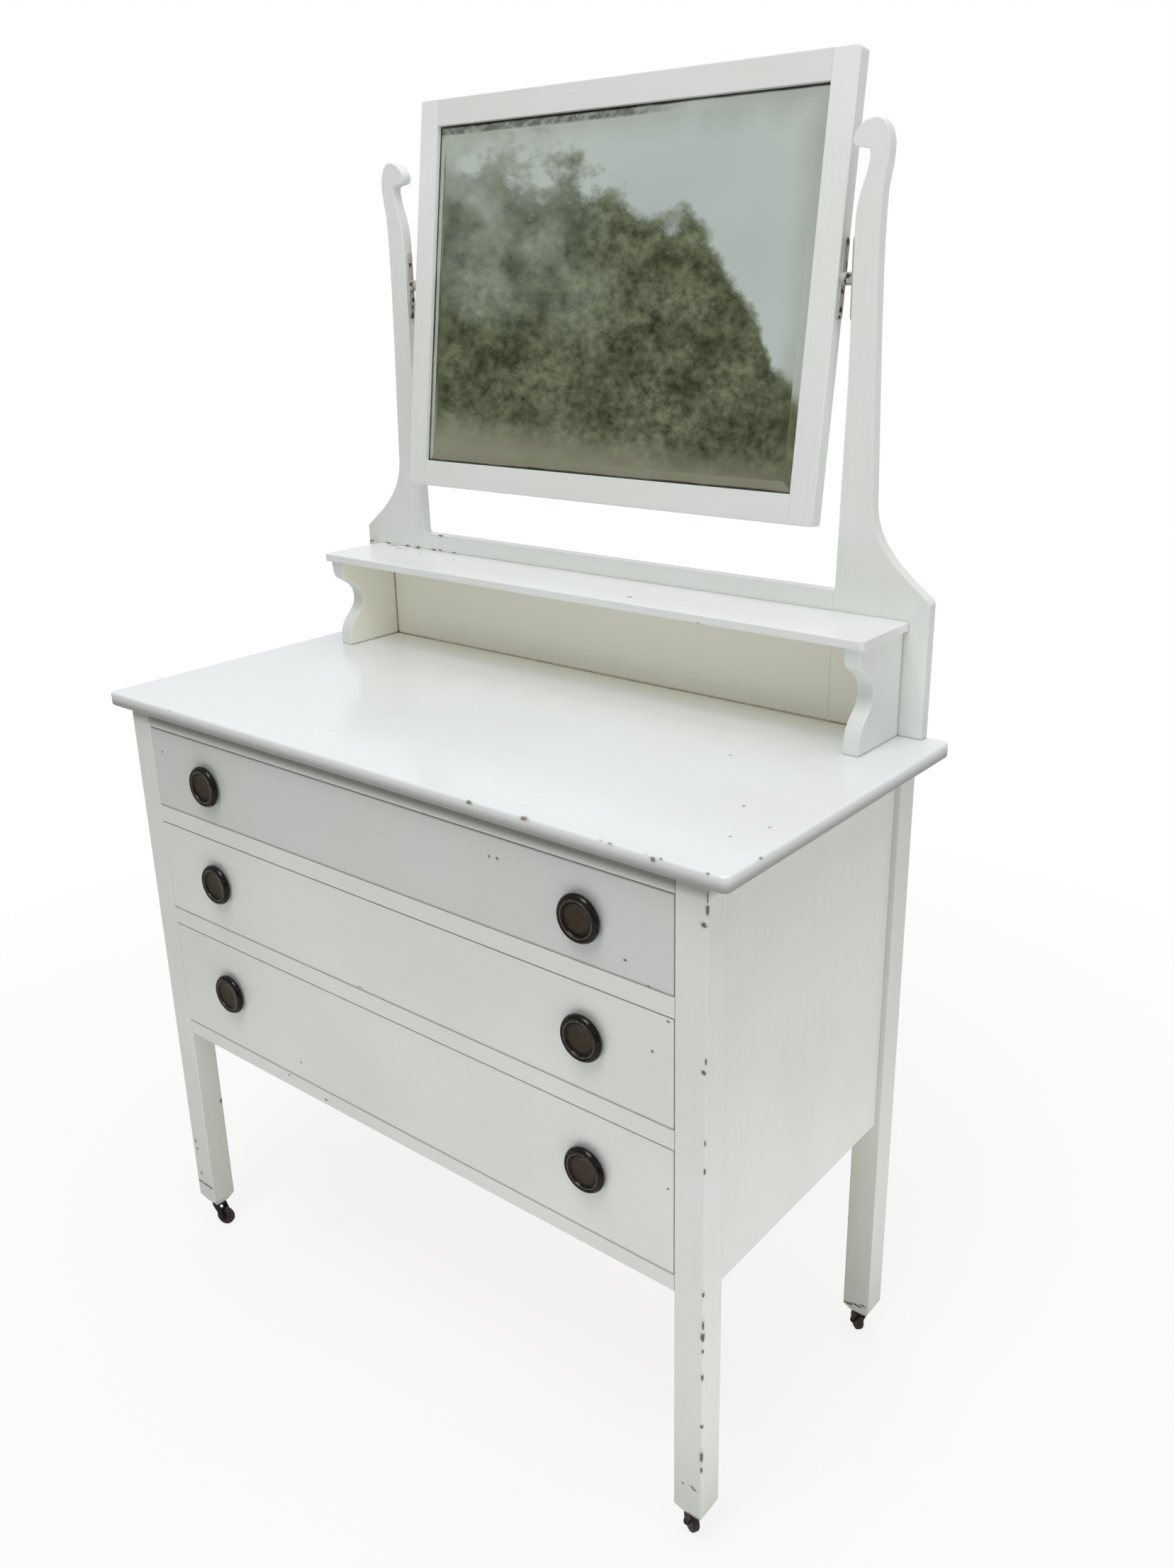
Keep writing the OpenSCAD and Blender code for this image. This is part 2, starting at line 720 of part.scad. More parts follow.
module fixing_screws() {
  color(steel) {
    for (p = concat(top_screws, kick_screws))
      translate([p.x, p.y, rail_z[0]]) slotted_screw(screw_dia, top_screw_l);
    for (p = std_screws) translate([p.x, p.y, z_under]) slotted_screw(screw_dia, std_screw_l);
    for (x = shelf_screws)
      translate([x, y_gal + gal_t, top_h + shelf_z + shelf_t / 2]) rotate([90, 0, 0])
        slotted_screw(small_dia, shelf_screw_l);
  }
}

// Mirror movements: a plate on the standard with a bored boss, and an arm on the frame with a pin
module plate_screw(s, grow = 0) {
  translate([post_x - mv_t, y_gal + gal_t / 2, z_pivot + s * mv_screw]) rotate([0, 90, 0])
    screw(small_dia, small_l, grow);
}

module movement_plate() {
  l = mir_gap - 2 * mv_t - boss_l - boss_gap;
  difference() {
    union() {
      translate([post_x - mv_t, y_gal + gal_t / 2 - mv_w / 2, z_pivot - mv_h / 2])
        along_x(mv_t) rrect(mv_w, mv_h, mv_w / 2 - 0.5);
      translate([post_x - mv_t - l, y_pivot, z_pivot]) rotate([0, 90, 0])
        cylinder(d = boss_dia, h = l + mv_t, $fn = fine);
    }
    translate([post_x - mv_t - l - 1, y_pivot, z_pivot]) rotate([0, 90, 0])
      cylinder(d = pin_dia + 2 * run_fit, h = l + mv_t + 2, $fn = fine);
    for (s = [-1, 1]) plate_screw(s, run_fit);
  }
  for (s = [-1, 1])
    translate([post_x - mv_t, y_gal + gal_t / 2, z_pivot + s * mv_screw]) rotate([0, 90, 0])
      slotted_screw(small_dia, small_l);
}

module movement_plate_left() { color(paint) mirror([1, 0, 0]) movement_plate(); }
module movement_plate_right() { color(paint) movement_plate(); }

// The mirror is drawn upright about its pivots and then leaned back
module leaned() {
  translate([0, y_pivot, z_pivot]) rotate([-tilt, 0, 0]) children();
}

module arm_screw(s, grow = 0) {
  translate([mir_w / 2 + mv_t, 0, s * mv_screw]) rotate([0, -90, 0])
    screw(small_dia, small_l, grow);
}

module mirror_arm() {
  x = mir_w / 2;
  difference() {
    union() {
      translate([x, -mv_w / 2, -mv_h / 2]) along_x(mv_t) rrect(mv_w, mv_h, mv_w / 2 - 0.5);
      translate([x, 0, 0]) rotate([0, 90, 0])
        cylinder(d = boss_dia, h = mv_t + boss_l, $fn = fine);
      translate([x, 0, 0]) rotate([0, 90, 0])
        cylinder(d = pin_dia, h = mir_gap - face_gap, $fn = fine);
    }
    for (s = [-1, 1]) arm_screw(s, run_fit);
  }
  for (s = [-1, 1])
    translate([x + mv_t, 0, s * mv_screw]) rotate([0, -90, 0]) slotted_screw(small_dia, small_l);
}

module mirror_arm_left() { color(paint) leaned() mirror([1, 0, 0]) mirror_arm(); }
module mirror_arm_right() { color(paint) leaned() mirror_arm(); }

// The whole frame as one rounded ring, which the stiles and rails are cut from
module frame_ring() {
  h = mir_up + mir_down;
  translate([-mir_w / 2, -mir_t / 2, -mir_down]) difference() {
    intersection() {
      along_y(mir_t) rrect(mir_w, h, mir_corner);
      along_x(mir_w) rrect(mir_t, h, mir_r);
      linear_extrude(h) rrect(mir_w, mir_t, mir_r);
    }
    translate([stile_w, -1, mir_bot])
      cube([mir_w - 2 * stile_w, mir_t + 2, h - mir_top - mir_bot]);
    translate([stile_w - rebate, lip_t, mir_bot - rebate])
      cube([mir_w - 2 * stile_w + 2 * rebate, mir_t, h - mir_top - mir_bot + 2 * rebate]);
  }
}

module frame_tenon(z, t, grow = 0) {
  translate([mir_w / 2 - stile_w - 1, -mir_t / 2 + lip_t / 2 - grow, z - grow])
    cube([mir_tenon + 1 + grow, lip_t + 2 * grow, t + 2 * grow]);
}

module frame_tenons(grow = 0) {
  inset = mir_corner + 3;
  frame_tenon(mir_up - mir_top + rebate + 2, mir_top - rebate - 2 - inset, grow);
  frame_tenon(-mir_down + inset, mir_bot - rebate - 2 - inset, grow);
}

module stile() {
  difference() {
    intersection() {
      frame_ring();
      translate([mir_w / 2 - stile_w, -mir_t, -mir_down - 1])
        cube([stile_w + 1, 2 * mir_t, mir_up + mir_down + 2]);
    }
    frame_tenons(glue_gap);
    for (s = [-1, 1]) arm_screw(s, run_fit);
  }
}

module frame_rail(top) {
  x = mir_w / 2 - stile_w;
  union() {
    intersection() {
      frame_ring();
      translate([-x, -mir_t, top ? mir_up - mir_top : -mir_down - 1])
        cube([2 * x, 2 * mir_t, (top ? mir_top : mir_bot) + 1]);
    }
    for (m = [0, 1]) mirror([m, 0, 0]) intersection() {
      frame_tenons();
      translate([0, -mir_t, top ? 0 : -mir_down]) cube([mir_w, 2 * mir_t, mir_down]);
    }
  }
}

module mirror_stile_left() { color(paint) leaned() mirror([1, 0, 0]) stile(); }
module mirror_stile_right() { color(paint) leaned() stile(); }
module mirror_rail_top() { color(paint) leaned() frame_rail(true); }
module mirror_rail_bottom() { color(paint) leaned() frame_rail(false); }

// The glass lies in the rebate with a little play at its edges, and the backing behind it
module bevelled(l) {
  b = bevel_seen + rebate;
  polygon([[0, glass_t], [0, bevel_deep], [b, 0], [l - b, 0], [l, bevel_deep], [l, glass_t]]);
}

module mirror_glass() {
  color([0.75, 0.78, 0.76]) leaned() translate([-glass_w / 2, glass_y, glass_z]) intersection() {
    linear_extrude(glass_h) bevelled(glass_w);
    translate([glass_w, 0, 0]) rotate([0, -90, 0]) linear_extrude(glass_w) bevelled(glass_h);
  }
}

module mirror_backing() {
  color(pine) leaned() translate([-glass_w / 2, glass_y + glass_t, glass_z])
    cube([glass_w, backing_t, glass_h]);
}

// Castors
module at_castor(x, y, turn) {
  translate([x, y, 0]) rotate(turn) children();
}

module castor_plate() {
  z = foot_z;
  low = z - plate_t - face_gap - crown_t - face_gap;
  rotate_extrude($fn = fine)
    polygon([[0, low - rivet_h], [swivel_dia / 2 + 1, low - rivet_h], [swivel_dia / 2 + 1.5, low],
      [swivel_dia / 2, low], [swivel_dia / 2, z - plate_t], [plate_dia / 2 - 0.5, z - plate_t],
      [plate_dia / 2, z - plate_t + 0.5], [plate_dia / 2, z], [stem_dia / 2, z],
      [stem_dia / 2, z + stem_l - 1], [stem_dia / 2 - 1, z + stem_l], [0, z + stem_l]]);
}

module castor_plates() {
  color(dark) for (x = [-leg_x, leg_x], y = [leg_yf, leg_yb]) translate([x, y, 0]) castor_plate();
}

// The fork stands over the swivel with its axle trailing along +X
module fork() {
  r = wheel_dia / 2;
  gap = wheel_w / 2 + face_gap;
  crown_z = foot_z - plate_t - face_gap - crown_t;
  difference() {
    union() {
      translate([0, 0, crown_z]) cylinder(d = crown_dia, h = crown_t, $fn = fine);
      for (m = [0, 1]) mirror([0, m, 0]) translate([0, gap, 0]) along_y(cheek_t) cheek(r, crown_z);
    }
    translate([0, 0, crown_z - 1])
      cylinder(d = swivel_dia + 2 * run_fit, h = crown_t + 2, $fn = fine);
    translate([trail, 0, r]) rotate([90, 0, 0])
      cylinder(d = axle_dia + 2 * run_fit, h = 4 * gap, center = true, $fn = fine);
  }
}

module cheek(r, crown_z) {
  polygon([[-4, crown_z + crown_t], [-4.5, crown_z], [trail - axle_dia, r], [trail + axle_dia, r],
    [6, crown_z], [5, crown_z + crown_t]]);
  translate([trail, r]) circle(r = axle_dia, $fn = fine);
}

module axle() {
  l = wheel_w + 2 * face_gap + 2 * cheek_t + 2 * glue_gap;
  translate([trail, l / 2, wheel_dia / 2]) rotate([90, 0, 0]) rotate_extrude($fn = fine)
    polygon([[0, -rivet_h], [axle_dia / 2 + 0.3, -rivet_h], [axle_dia / 2 + 0.8, 0],
      [axle_dia / 2, 0], [axle_dia / 2, l], [axle_dia / 2 + 0.8, l],
      [axle_dia / 2 + 0.3, l + rivet_h], [0, l + rivet_h]]);
}

module castor_fork(x, y, turn) {
  color(dark) at_castor(x, y, turn) {
    fork();
    axle();
  }
}

module castor_wheel(x, y, turn) {
  r = wheel_dia / 2;
  h = wheel_w / 2;
  color([0.22, 0.13, 0.10]) at_castor(x, y, turn) translate([trail, 0, r]) rotate([90, 0, 0])
    rotate_extrude($fn = 2 * fine)
      polygon([[axle_dia / 2 + run_fit, -h], [axle_dia / 2 + 2, -h], [r * 0.72, -h + 1],
        [r - 1.5, -h + 1.2], [r - 0.4, -h + 2.4], [r, -h + 4], [r, h - 4], [r - 0.4, h - 2.4],
        [r - 1.5, h - 1.2], [r * 0.72, h - 1], [axle_dia / 2 + 2, h], [axle_dia / 2 + run_fit, h]]);
}

module castor_fork_fl() { castor_fork(-leg_x, leg_yf, turn_fl); }
module castor_fork_fr() { castor_fork(leg_x, leg_yf, turn_fr); }
module castor_fork_bl() { castor_fork(-leg_x, leg_yb, turn_bl); }
module castor_fork_br() { castor_fork(leg_x, leg_yb, turn_br); }
module castor_wheel_fl() { castor_wheel(-leg_x, leg_yf, turn_fl); }
module castor_wheel_fr() { castor_wheel(leg_x, leg_yf, turn_fr); }
module castor_wheel_bl() { castor_wheel(-leg_x, leg_yb, turn_bl); }
module castor_wheel_br() { castor_wheel(leg_x, leg_yb, turn_br); }

// Drawers, i = 0 at the top
function front_h(i) = opens[i] - slide_gap - top_gap;
function drawer_z(i) = floors[i] + slide_gap;
function knob_z(i) = floors[i] + opens[i] / 2 + knob_ups[i];
function side_h(i) = front_h(i) - side_low;

// The dovetails at the front end of a side, seen from the side
module tails(i, grow = 0) {
  n = max(2, round(side_h(i) / 38));
  pitch = side_h(i) / n;
  flare = tail_l * tan(tail_angle);
  for (k = [0:n - 1]) translate([0, (k + 0.5) * pitch])
    polygon([[0.01, -pitch * 0.28 - grow], [0.01, pitch * 0.28 + grow],
      [-tail_l - grow, pitch * 0.28 + flare + grow], [-tail_l - grow, -pitch * 0.28 - flare - grow]]);
}

module drawer_front(i) {
  x = drawer_w / 2;
  color(paint) difference() {
    translate([-x, y_case, drawer_z(i)]) faced_board(drawer_w, front_t, front_h(i), arris);
    for (m = [0, 1]) mirror([m, 0, 0])
      translate([x - side_t - glue_gap, y_case + front_t, drawer_z(i)])
        along_x(side_t + 1) tails(i, glue_gap);
    translate([-x + side_t - groove, y_case + front_t - front_groove, drawer_z(i) + bottom_up - glue_gap])
      cube([drawer_w - 2 * side_t + 2 * groove, front_groove + 1, bottom_t + 2 * glue_gap]);
    for (s = [-1, 1]) translate([s * knob_x, y_case - 1, knob_z(i)]) rotate([-90, 0, 0])
      cylinder(d = bolt_dia + 2 * run_fit, h = front_t + 2, $fn = fine);
  }
}

module drawer_side(i) {
  x = drawer_w / 2;
  y = y_case + drawer_l - dback_in - dback_t;
  difference() {
    translate([x - side_t, y_case + front_t, drawer_z(i)]) along_x(side_t) union() {
      square([drawer_l - front_t, side_h(i)]);
      tails(i);
    }
    translate([x - side_t - 1, y - glue_gap, drawer_z(i) + bottom_up + bottom_t - glue_gap])
      cube([groove + 1, dback_t + 2 * glue_gap, side_h(i)]);
    translate([x - side_t - 1, y_case, drawer_z(i) + bottom_up - glue_gap])
      cube([groove + 1, drawer_l + 1, bottom_t + 2 * glue_gap]);
  }
}

module drawer_sides(i) {
  color(pine) for (m = [0, 1]) mirror([m, 0, 0]) drawer_side(i);
}

module drawer_back(i) {
  w = drawer_w - 2 * side_t + 2 * (groove - glue_gap);
  color(pine) translate([-w / 2, y_case + drawer_l - dback_in - dback_t,
    drawer_z(i) + bottom_up + bottom_t])
    cube([w, dback_t, side_h(i) - bottom_up - bottom_t]);
}

module drawer_bottom(i) {
  w = drawer_w - 2 * side_t + 2 * (groove - glue_gap);
  color(pine) translate([-w / 2, y_case + front_t - front_groove + glue_gap,
    drawer_z(i) + bottom_up])
    cube([w, drawer_l - front_t + front_groove - glue_gap - dback_in, bottom_t]);
}

// A flat turned knob with a rounded rim, a raised ring and a dished middle, and its bolt
module knob() {
  r = knob_dia / 2;
  f = knob_foot / 2;
  m = dish_dia / 2;
  p = knob_proj;
  d = dish_deep;
  rotate_extrude($fn = 2 * fine)
    polygon(concat(
      [[0, -front_t - nut_t - 2], [bolt_dia / 2, -front_t - nut_t - 2], [bolt_dia / 2, 0], [f, 0]],
      bez([f, 0], [f, p * 0.15], [r - 3, p * 0.12], [r - 0.8, p * 0.35], 6),
      bez([r - 0.8, p * 0.35], [r, p * 0.46], [r, p * 0.62], [r - 0.9, p * 0.74], 5),
      bez([r - 0.9, p * 0.74], [r - 2.6, p * 0.97], [m + 6, p], [m + 4.5, p], 7),
      bez([m + 4.5, p], [m + 2, p], [m + 1, p - d * 0.3], [m, p - d * 0.6], 5),
      bez([m, p - d * 0.6], [m * 0.7, p - d], [m * 0.35, p - d], [0, p - d], 6)));
}

module nut() {
  difference() {
    cylinder(d = nut_w / cos(30), h = nut_t, $fn = 6);
    translate([0, 0, -1]) cylinder(d = bolt_dia + 2 * run_fit, h = nut_t + 2, $fn = fine);
  }
}

module drawer_knobs(i) {
  color(dark) for (s = [-1, 1]) translate([s * knob_x, y_case, knob_z(i)]) {
    rotate([90, 0, 0]) knob();
    translate([0, front_t, 0]) rotate([-90, 0, 0]) nut();
  }
}

module drawer_1_front() { drawer_front(0); }
module drawer_2_front() { drawer_front(1); }
module drawer_3_front() { drawer_front(2); }
module drawer_1_sides() { drawer_sides(0); }
module drawer_2_sides() { drawer_sides(1); }
module drawer_3_sides() { drawer_sides(2); }
module drawer_1_back() { drawer_back(0); }
module drawer_2_back() { drawer_back(1); }
module drawer_3_back() { drawer_back(2); }
module drawer_1_bottom() { drawer_bottom(0); }
module drawer_2_bottom() { drawer_bottom(1); }
module drawer_3_bottom() { drawer_bottom(2); }
module drawer_1_knobs() { drawer_knobs(0); }
module drawer_2_knobs() { drawer_knobs(1); }
module drawer_3_knobs() { drawer_knobs(2); }

leg_front_left();
leg_front_right();
leg_back_left();
leg_back_right();
side_panel_left();
side_panel_right();
back_panel();
top_rail();
divider_upper();
divider_lower();
bottom_rail();
back_rail_top();
back_rail_bottom();
runners_left();
runners_right();
kickers();
drawer_stops();
top_board();
gallery_board();
standard_left();
standard_right();
shelf();
bracket_left();
bracket_right();
bracket_dowels();
fixing_screws();
movement_plate_left();
movement_plate_right();
castor_plates();
drawer_1_front();
drawer_1_sides();
drawer_1_back();
drawer_1_bottom();
drawer_1_knobs();
drawer_2_front();
drawer_2_sides();
drawer_2_back();
drawer_2_bottom();
drawer_2_knobs();
drawer_3_front();
drawer_3_sides();
drawer_3_back();
drawer_3_bottom();
drawer_3_knobs();
mirror_stile_left();
mirror_stile_right();
mirror_rail_top();
mirror_rail_bottom();
mirror_glass();
mirror_backing();
mirror_arm_left();
mirror_arm_right();
castor_fork_fl();
castor_fork_fr();
castor_fork_bl();
castor_fork_br();
castor_wheel_fl();
castor_wheel_fr();
castor_wheel_bl();
castor_wheel_br();
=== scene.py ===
import json
import math

import bmesh
import bpy
from mathutils import Matrix, Vector


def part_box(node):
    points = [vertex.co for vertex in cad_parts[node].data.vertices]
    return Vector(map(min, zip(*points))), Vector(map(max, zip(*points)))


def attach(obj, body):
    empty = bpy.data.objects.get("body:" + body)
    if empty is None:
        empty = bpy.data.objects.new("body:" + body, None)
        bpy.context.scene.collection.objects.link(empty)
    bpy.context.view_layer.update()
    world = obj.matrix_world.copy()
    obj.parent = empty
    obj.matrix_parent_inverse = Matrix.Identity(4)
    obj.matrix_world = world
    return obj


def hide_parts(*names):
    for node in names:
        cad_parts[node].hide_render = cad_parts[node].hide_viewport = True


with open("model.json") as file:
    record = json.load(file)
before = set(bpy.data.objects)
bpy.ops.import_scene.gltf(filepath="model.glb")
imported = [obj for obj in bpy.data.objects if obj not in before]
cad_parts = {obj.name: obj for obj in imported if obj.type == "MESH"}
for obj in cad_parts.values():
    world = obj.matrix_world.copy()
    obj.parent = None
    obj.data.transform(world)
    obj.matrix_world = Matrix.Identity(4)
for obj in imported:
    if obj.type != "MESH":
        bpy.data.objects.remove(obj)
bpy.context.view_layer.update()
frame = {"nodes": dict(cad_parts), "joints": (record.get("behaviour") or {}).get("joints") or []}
nodes = frame["nodes"]

# ---- Legs -------------------------------------------------------------------------------
# Four square softwood legs with a chamfered foot, the posts of the whole case. They were
# brushed with white gloss enamel long ago, and it has flaked along the outer arris down to
# the old dark stain, and cracked across the end grain just over the castors.


def colour(code):
    """The linear colour of an sRGB hex code."""
    parts = [int(code[i:i + 2], 16) / 255 for i in (1, 3, 5)]
    return [p / 12.92 if p <= 0.04045 else ((p + 0.055) / 1.055) ** 2.4 for p in parts] + [1.0]


def feed(tree, node, inputs):
    """Gives a node's inputs their values, or links them to the sockets given instead."""
    for key, value in inputs.items():
        if isinstance(value, bpy.types.NodeSocket):
            tree.links.new(value, node.inputs[key])
        else:
            node.inputs[key].default_value = value


def add(tree, kind, inputs=None, **settings):
    """Adds a node with its settings and its inputs."""
    made = tree.nodes.new(kind if "Node" in kind else "ShaderNode" + kind)
    for key, value in settings.items():
        setattr(made, key, value)
    feed(tree, made, inputs or {})
    return made


def maths(tree, operation, *values):
    """The result of one sum with numbers."""
    return add(tree, "Math", dict(enumerate(values)), operation=operation).outputs[0]


def vectors(tree, operation, *values):
    """The result of one sum with vectors. SCALE takes a vector and a number."""
    keys = (0, "Scale") if operation == "SCALE" else range(len(values))
    made = add(tree, "VectorMath", dict(zip(keys, values)), operation=operation)
    return made.outputs["Value" if operation in ("LENGTH", "DOT_PRODUCT") else 0]


def ramp(tree, value, low, high, start=0.0, end=1.0, **settings):
    """From start, where the value is at low, to end, where it is at high, and held beyond."""
    return add(tree, "MapRange", {"Value": value, "From Min": low, "From Max": high,
                                  "To Min": start, "To Max": end}, **settings).outputs[0]


def noise(tree, place, size, detail, **more):
    """Noise in patches of about one size, in metres."""
    return add(tree, "TexNoise", {"Vector": place, "Scale": 1 / size, "Detail": detail,
                                  **more}).outputs[0]


def mix(tree, share, first, second):
    """A colour between two others, each a hex code or a socket."""
    first, second = (colour(c) if isinstance(c, str) else c for c in (first, second))
    return add(tree, "Mix", {0: share, 6: first, 7: second}, data_type="RGBA").outputs[2]


def relief(tree, height, strength, depth, **more):
    """The normal of a surface with fine relief, of a depth in metres."""
    return add(tree, "Bump", {"Height": height, "Strength": strength, "Distance": depth,
                              **more}).outputs[0]


def new_finish(name):
    """An empty material, its tree, its shader and the place on the piece in metres."""
    made = bpy.data.materials.new(name)
    made.use_nodes = True
    tree = made.node_tree
    shader = tree.nodes["Principled BSDF"]
    return made, tree, shader, add(tree, "TexCoord").outputs["Object"]


def spots(tree, place, marks):
    """The distance to the nearest of the marks, as a share of each one's own size.
    A mark is its middle and its half sizes, in millimetres."""
    nearest = None
    for middle, half in marks:
        scaled = add(tree, "Mapping", {
            "Vector": place, "Scale": [1000 / h for h in half],
            "Location": [-c / h for c, h in zip(middle, half)]}).outputs[0]
        far = vectors(tree, "LENGTH", scaled)
        nearest = far if nearest is None else maths(tree, "MINIMUM", nearest, far)
    return nearest


# The enamel's two tones, fresh and aged: on the case, and on what stands on it. The case's pair
# is the darker, as painted shade on the case.
case_white, upper_white = ("#E3E6E3", "#DADDD6"), ("#EDF0EE", "#E7EAE4")


# Alkyd gloss enamel, brushed on wood in several coats: a cool white surface that has aged a
# little unevenly, with faint ridges along the strokes, slow waves where it levelled, a wet
# gloss, and a broken painted highlight along its arrises. The ridges are drawn 4 mm apart, about
# four times the real brush marks, as fine as the picture can show. Flakes show grit 2.5 mm wide.
def enamel(name, strokes, marks=(), tones=case_white, gloss=0.22,
           wood=("#45403B", "#8A857D"), niche=None, darkening=0.0, filled=None, painted_shade=None):
    made, tree, shader, place = new_finish(name)
    slow, quick = 1 / 0.160, 1 / 0.004
    along = add(tree, "Mapping", {
        "Vector": place, "Scale": [slow if a == strokes else quick for a in "xyz"]}).outputs[0]
    ridges = noise(tree, along, 1.0, 2.0)
    waves = noise(tree, place, 0.055, 1.0)
    clouds = noise(tree, place, 0.180, 3.0)
    grit = noise(tree, place, 0.0025, 2.0)
    paint = mix(tree, ramp(tree, clouds, 0.2, 0.8), *tones)
    paint = vectors(tree, "SCALE", paint, ramp(tree, ridges, 0.2, 0.8, 0.97, 1.0))
    height = maths(tree, "MULTIPLY_ADD", waves, 3.0, ridges)

    # Faint knocks and specks up to 3 mm wide, one at most to a cell of 40 mm.
    cells = add(tree, "TexVoronoi", {"Vector": place, "Scale": 1 / 0.040})
    speck = ramp(tree, cells.outputs["Distance"], 0.035, 0.015)
    chosen = add(tree, "SeparateColor", {0: cells.outputs["Color"]}).outputs[0]
    speck = maths(tree, "MULTIPLY", speck, ramp(tree, chosen, 0.55, 1.0, 0.0, 0.5))
    paint = mix(tree, speck, paint, "#A29E93")

    if niche:
        # Under the shelf the enamel never sees daylight, and has yellowed to cream; the cream is
        # also paler than the paint round it, as painted light in the niche's shade. Its box is
        # bounded by a half width, a top and a back, and begins between two depths.
        half_width, top, back, start, full = (v / 1000 for v in niche)
        inside, outside = 0.0002, 0.0008
        axes = add(tree, "SeparateXYZ", {0: place}).outputs
        aside = maths(tree, "ABSOLUTE", axes["X"])
        kept = ramp(tree, aside, half_width + outside, half_width + inside)
        for value, low, high in ((axes["Z"], top + outside, top + inside),
                                 (axes["Y"], back + outside, back + inside),
                                 (axes["Y"], start, full)):
            kept = maths(tree, "MULTIPLY", kept, ramp(tree, value, low, high))
        paint = mix(tree, kept, paint, "#FAF8EC")

    # The arrises are rounded to 1.2 mm, and a broken painted highlight lightens them here and there.
    eased = add(tree, "Bevel", {"Radius": 0.0012}, samples=4).outputs[0]
    flat = add(tree, "NewGeometry").outputs["Normal"]
    arris = ramp(tree, vectors(tree, "DOT_PRODUCT", eased, flat), 0.995, 0.87, 0.0, 0.9)
    broken_highlight = ramp(tree, noise(tree, place, 0.014, 2.0), 0.42, 0.62)
    paint = mix(tree, maths(tree, "MULTIPLY", arris, broken_highlight), paint, "#F8F9F7")

    if niche:
        # Dust and old polish packed into the corners where two boards meet, and painted shade there
        # too, most in the niche.
        hemmed = add(tree, "AmbientOcclusion", {"Distance": 0.0045}, samples=6).outputs["AO"]
        hemmed = maths(tree, "MULTIPLY_ADD", grit, 0.5, hemmed)
        dust_and_shade = maths(tree, "MULTIPLY", ramp(tree, hemmed, 1.0, 0.74, 0.0, darkening),
                      ramp(tree, kept, 0.0, 1.0, 0.3, 1.0))
        if filled:
            # The upright joints in the niche were filled with paint, and hold none.
            off = maths(tree, "ABSOLUTE", maths(tree, "SUBTRACT", aside, filled / 1000))
            off = ramp(tree, off, 0.001, 0.0016)
            dust_and_shade = maths(tree, "MULTIPLY", dust_and_shade, off)
            eased = add(tree, "Mix", {0: off, 4: flat, 5: eased}, data_type="VECTOR").outputs[1]
        paint = mix(tree, dust_and_shade, paint, "#6F5B3F")

    if painted_shade:
        # Painted shade in a band along a lower edge or under an overhang, between two heights.
        start, full, share = painted_shade
        up = add(tree, "SeparateXYZ", {0: place}).outputs["Z"]
        up = maths(tree, "MULTIPLY_ADD", grit, 0.0012, up)
        shade_band = ramp(tree, up, start / 1000, full / 1000, 0.0, share,
                    interpolation_type="SMOOTHSTEP")
        paint = mix(tree, shade_band, paint, "#6F6C64")

    feed(tree, shader, {"Roughness": gloss, "IOR": 1.5})
    if marks:
        # Flakes down to the old stain, each with a soiled edge.
        torn = maths(tree, "MULTIPLY_ADD", grit, 0.8, spots(tree, place, marks))
        paint = mix(tree, ramp(tree, torn, 1.2, 2.0, 0.45, 0.0), paint, "#B5B1A6")
        bare = ramp(tree, torn, 1.05, 1.35, 1.0, 0.0)
        paint = mix(tree, bare, paint, mix(tree, grit, *wood))
        rough = add(tree, "Mix", {0: bare, 2: gloss, 3: 0.85}).outputs[0]
        feed(tree, shader, {"Roughness": rough})
        height = maths(tree, "MULTIPLY_ADD", bare, -5.0, height)
    feed(tree, shader, {"Base Color": paint,
                        "Normal": relief(tree, height, 0.08, 0.0008, Normal=eased)})
    return made


def finish(piece, material):
    """Gives a piece one material, in its object's own slots."""
    if not piece.material_slots:
        piece.data.materials.append(None)
    for held in piece.material_slots:
        held.link = "OBJECT"
        held.material = material


def chips(across, depth, *places):
    """Marks on one arris: each place gives its height and its half width and half height."""
    return [((across, depth, z), (w, w, h)) for z, w, h in places]


def on_front(y, *places):
    """Marks on a front: each place gives its x and height, then its three half sizes."""
    return [((x, y, z), half) for x, z, *half in places]


leg_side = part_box("leg_front_right")[1].x * 1000
case_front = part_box("leg_front_right")[0].y * 1000
back_leg_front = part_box("leg_back_right")[0].y * 1000
near_flakes = chips(
    leg_side, case_front, (759, 1.2, 12), (746, 2.8, 6), (596, 1.8, 4), (509, 1.6, 4),
    (478, 1.8, 4), (337, 2.2, 3.4), (300, 2.2, 6.5), (286, 3.6, 6), (268, 2.2, 3.4),
    (236, 2.4, 4.6), (173, 3.2, 2.8), (133, 3.2, 8.5), (116, 2.4, 4.4)) + on_front(
    case_front, (426, 731, 3.6, 1.8, 3.0), (427.5, 584, 3.0, 1.8, 2.6),
    (421, 84.5, 3.6, 2, 1.4), (418, 86.5, 2.6, 2, 1.2), (406.6, 84, 2.2, 2, 1.2))
left_flakes = on_front(
    case_front, (-424, 72.6, 9, 3, 1.7), (-412, 72.2, 9, 3, 2.0), (-402, 71.8, 7, 3, 1.8),
    (-419, 88, 2.4, 2, 3.2), (-421, 128, 2.2, 2, 2.6), (-423, 140, 1.8, 2, 4)) + on_front(
    case_front + 30, (-395, 200, 3.4, 2.4, 4))
back_flakes = on_front(
    back_leg_front, (402, 51.5, 7, 3, 2.0), (413, 54.5, 9, 3, 1.9)) + on_front(
    back_leg_front + 1, (422, 58, 5, 3, 1.8))
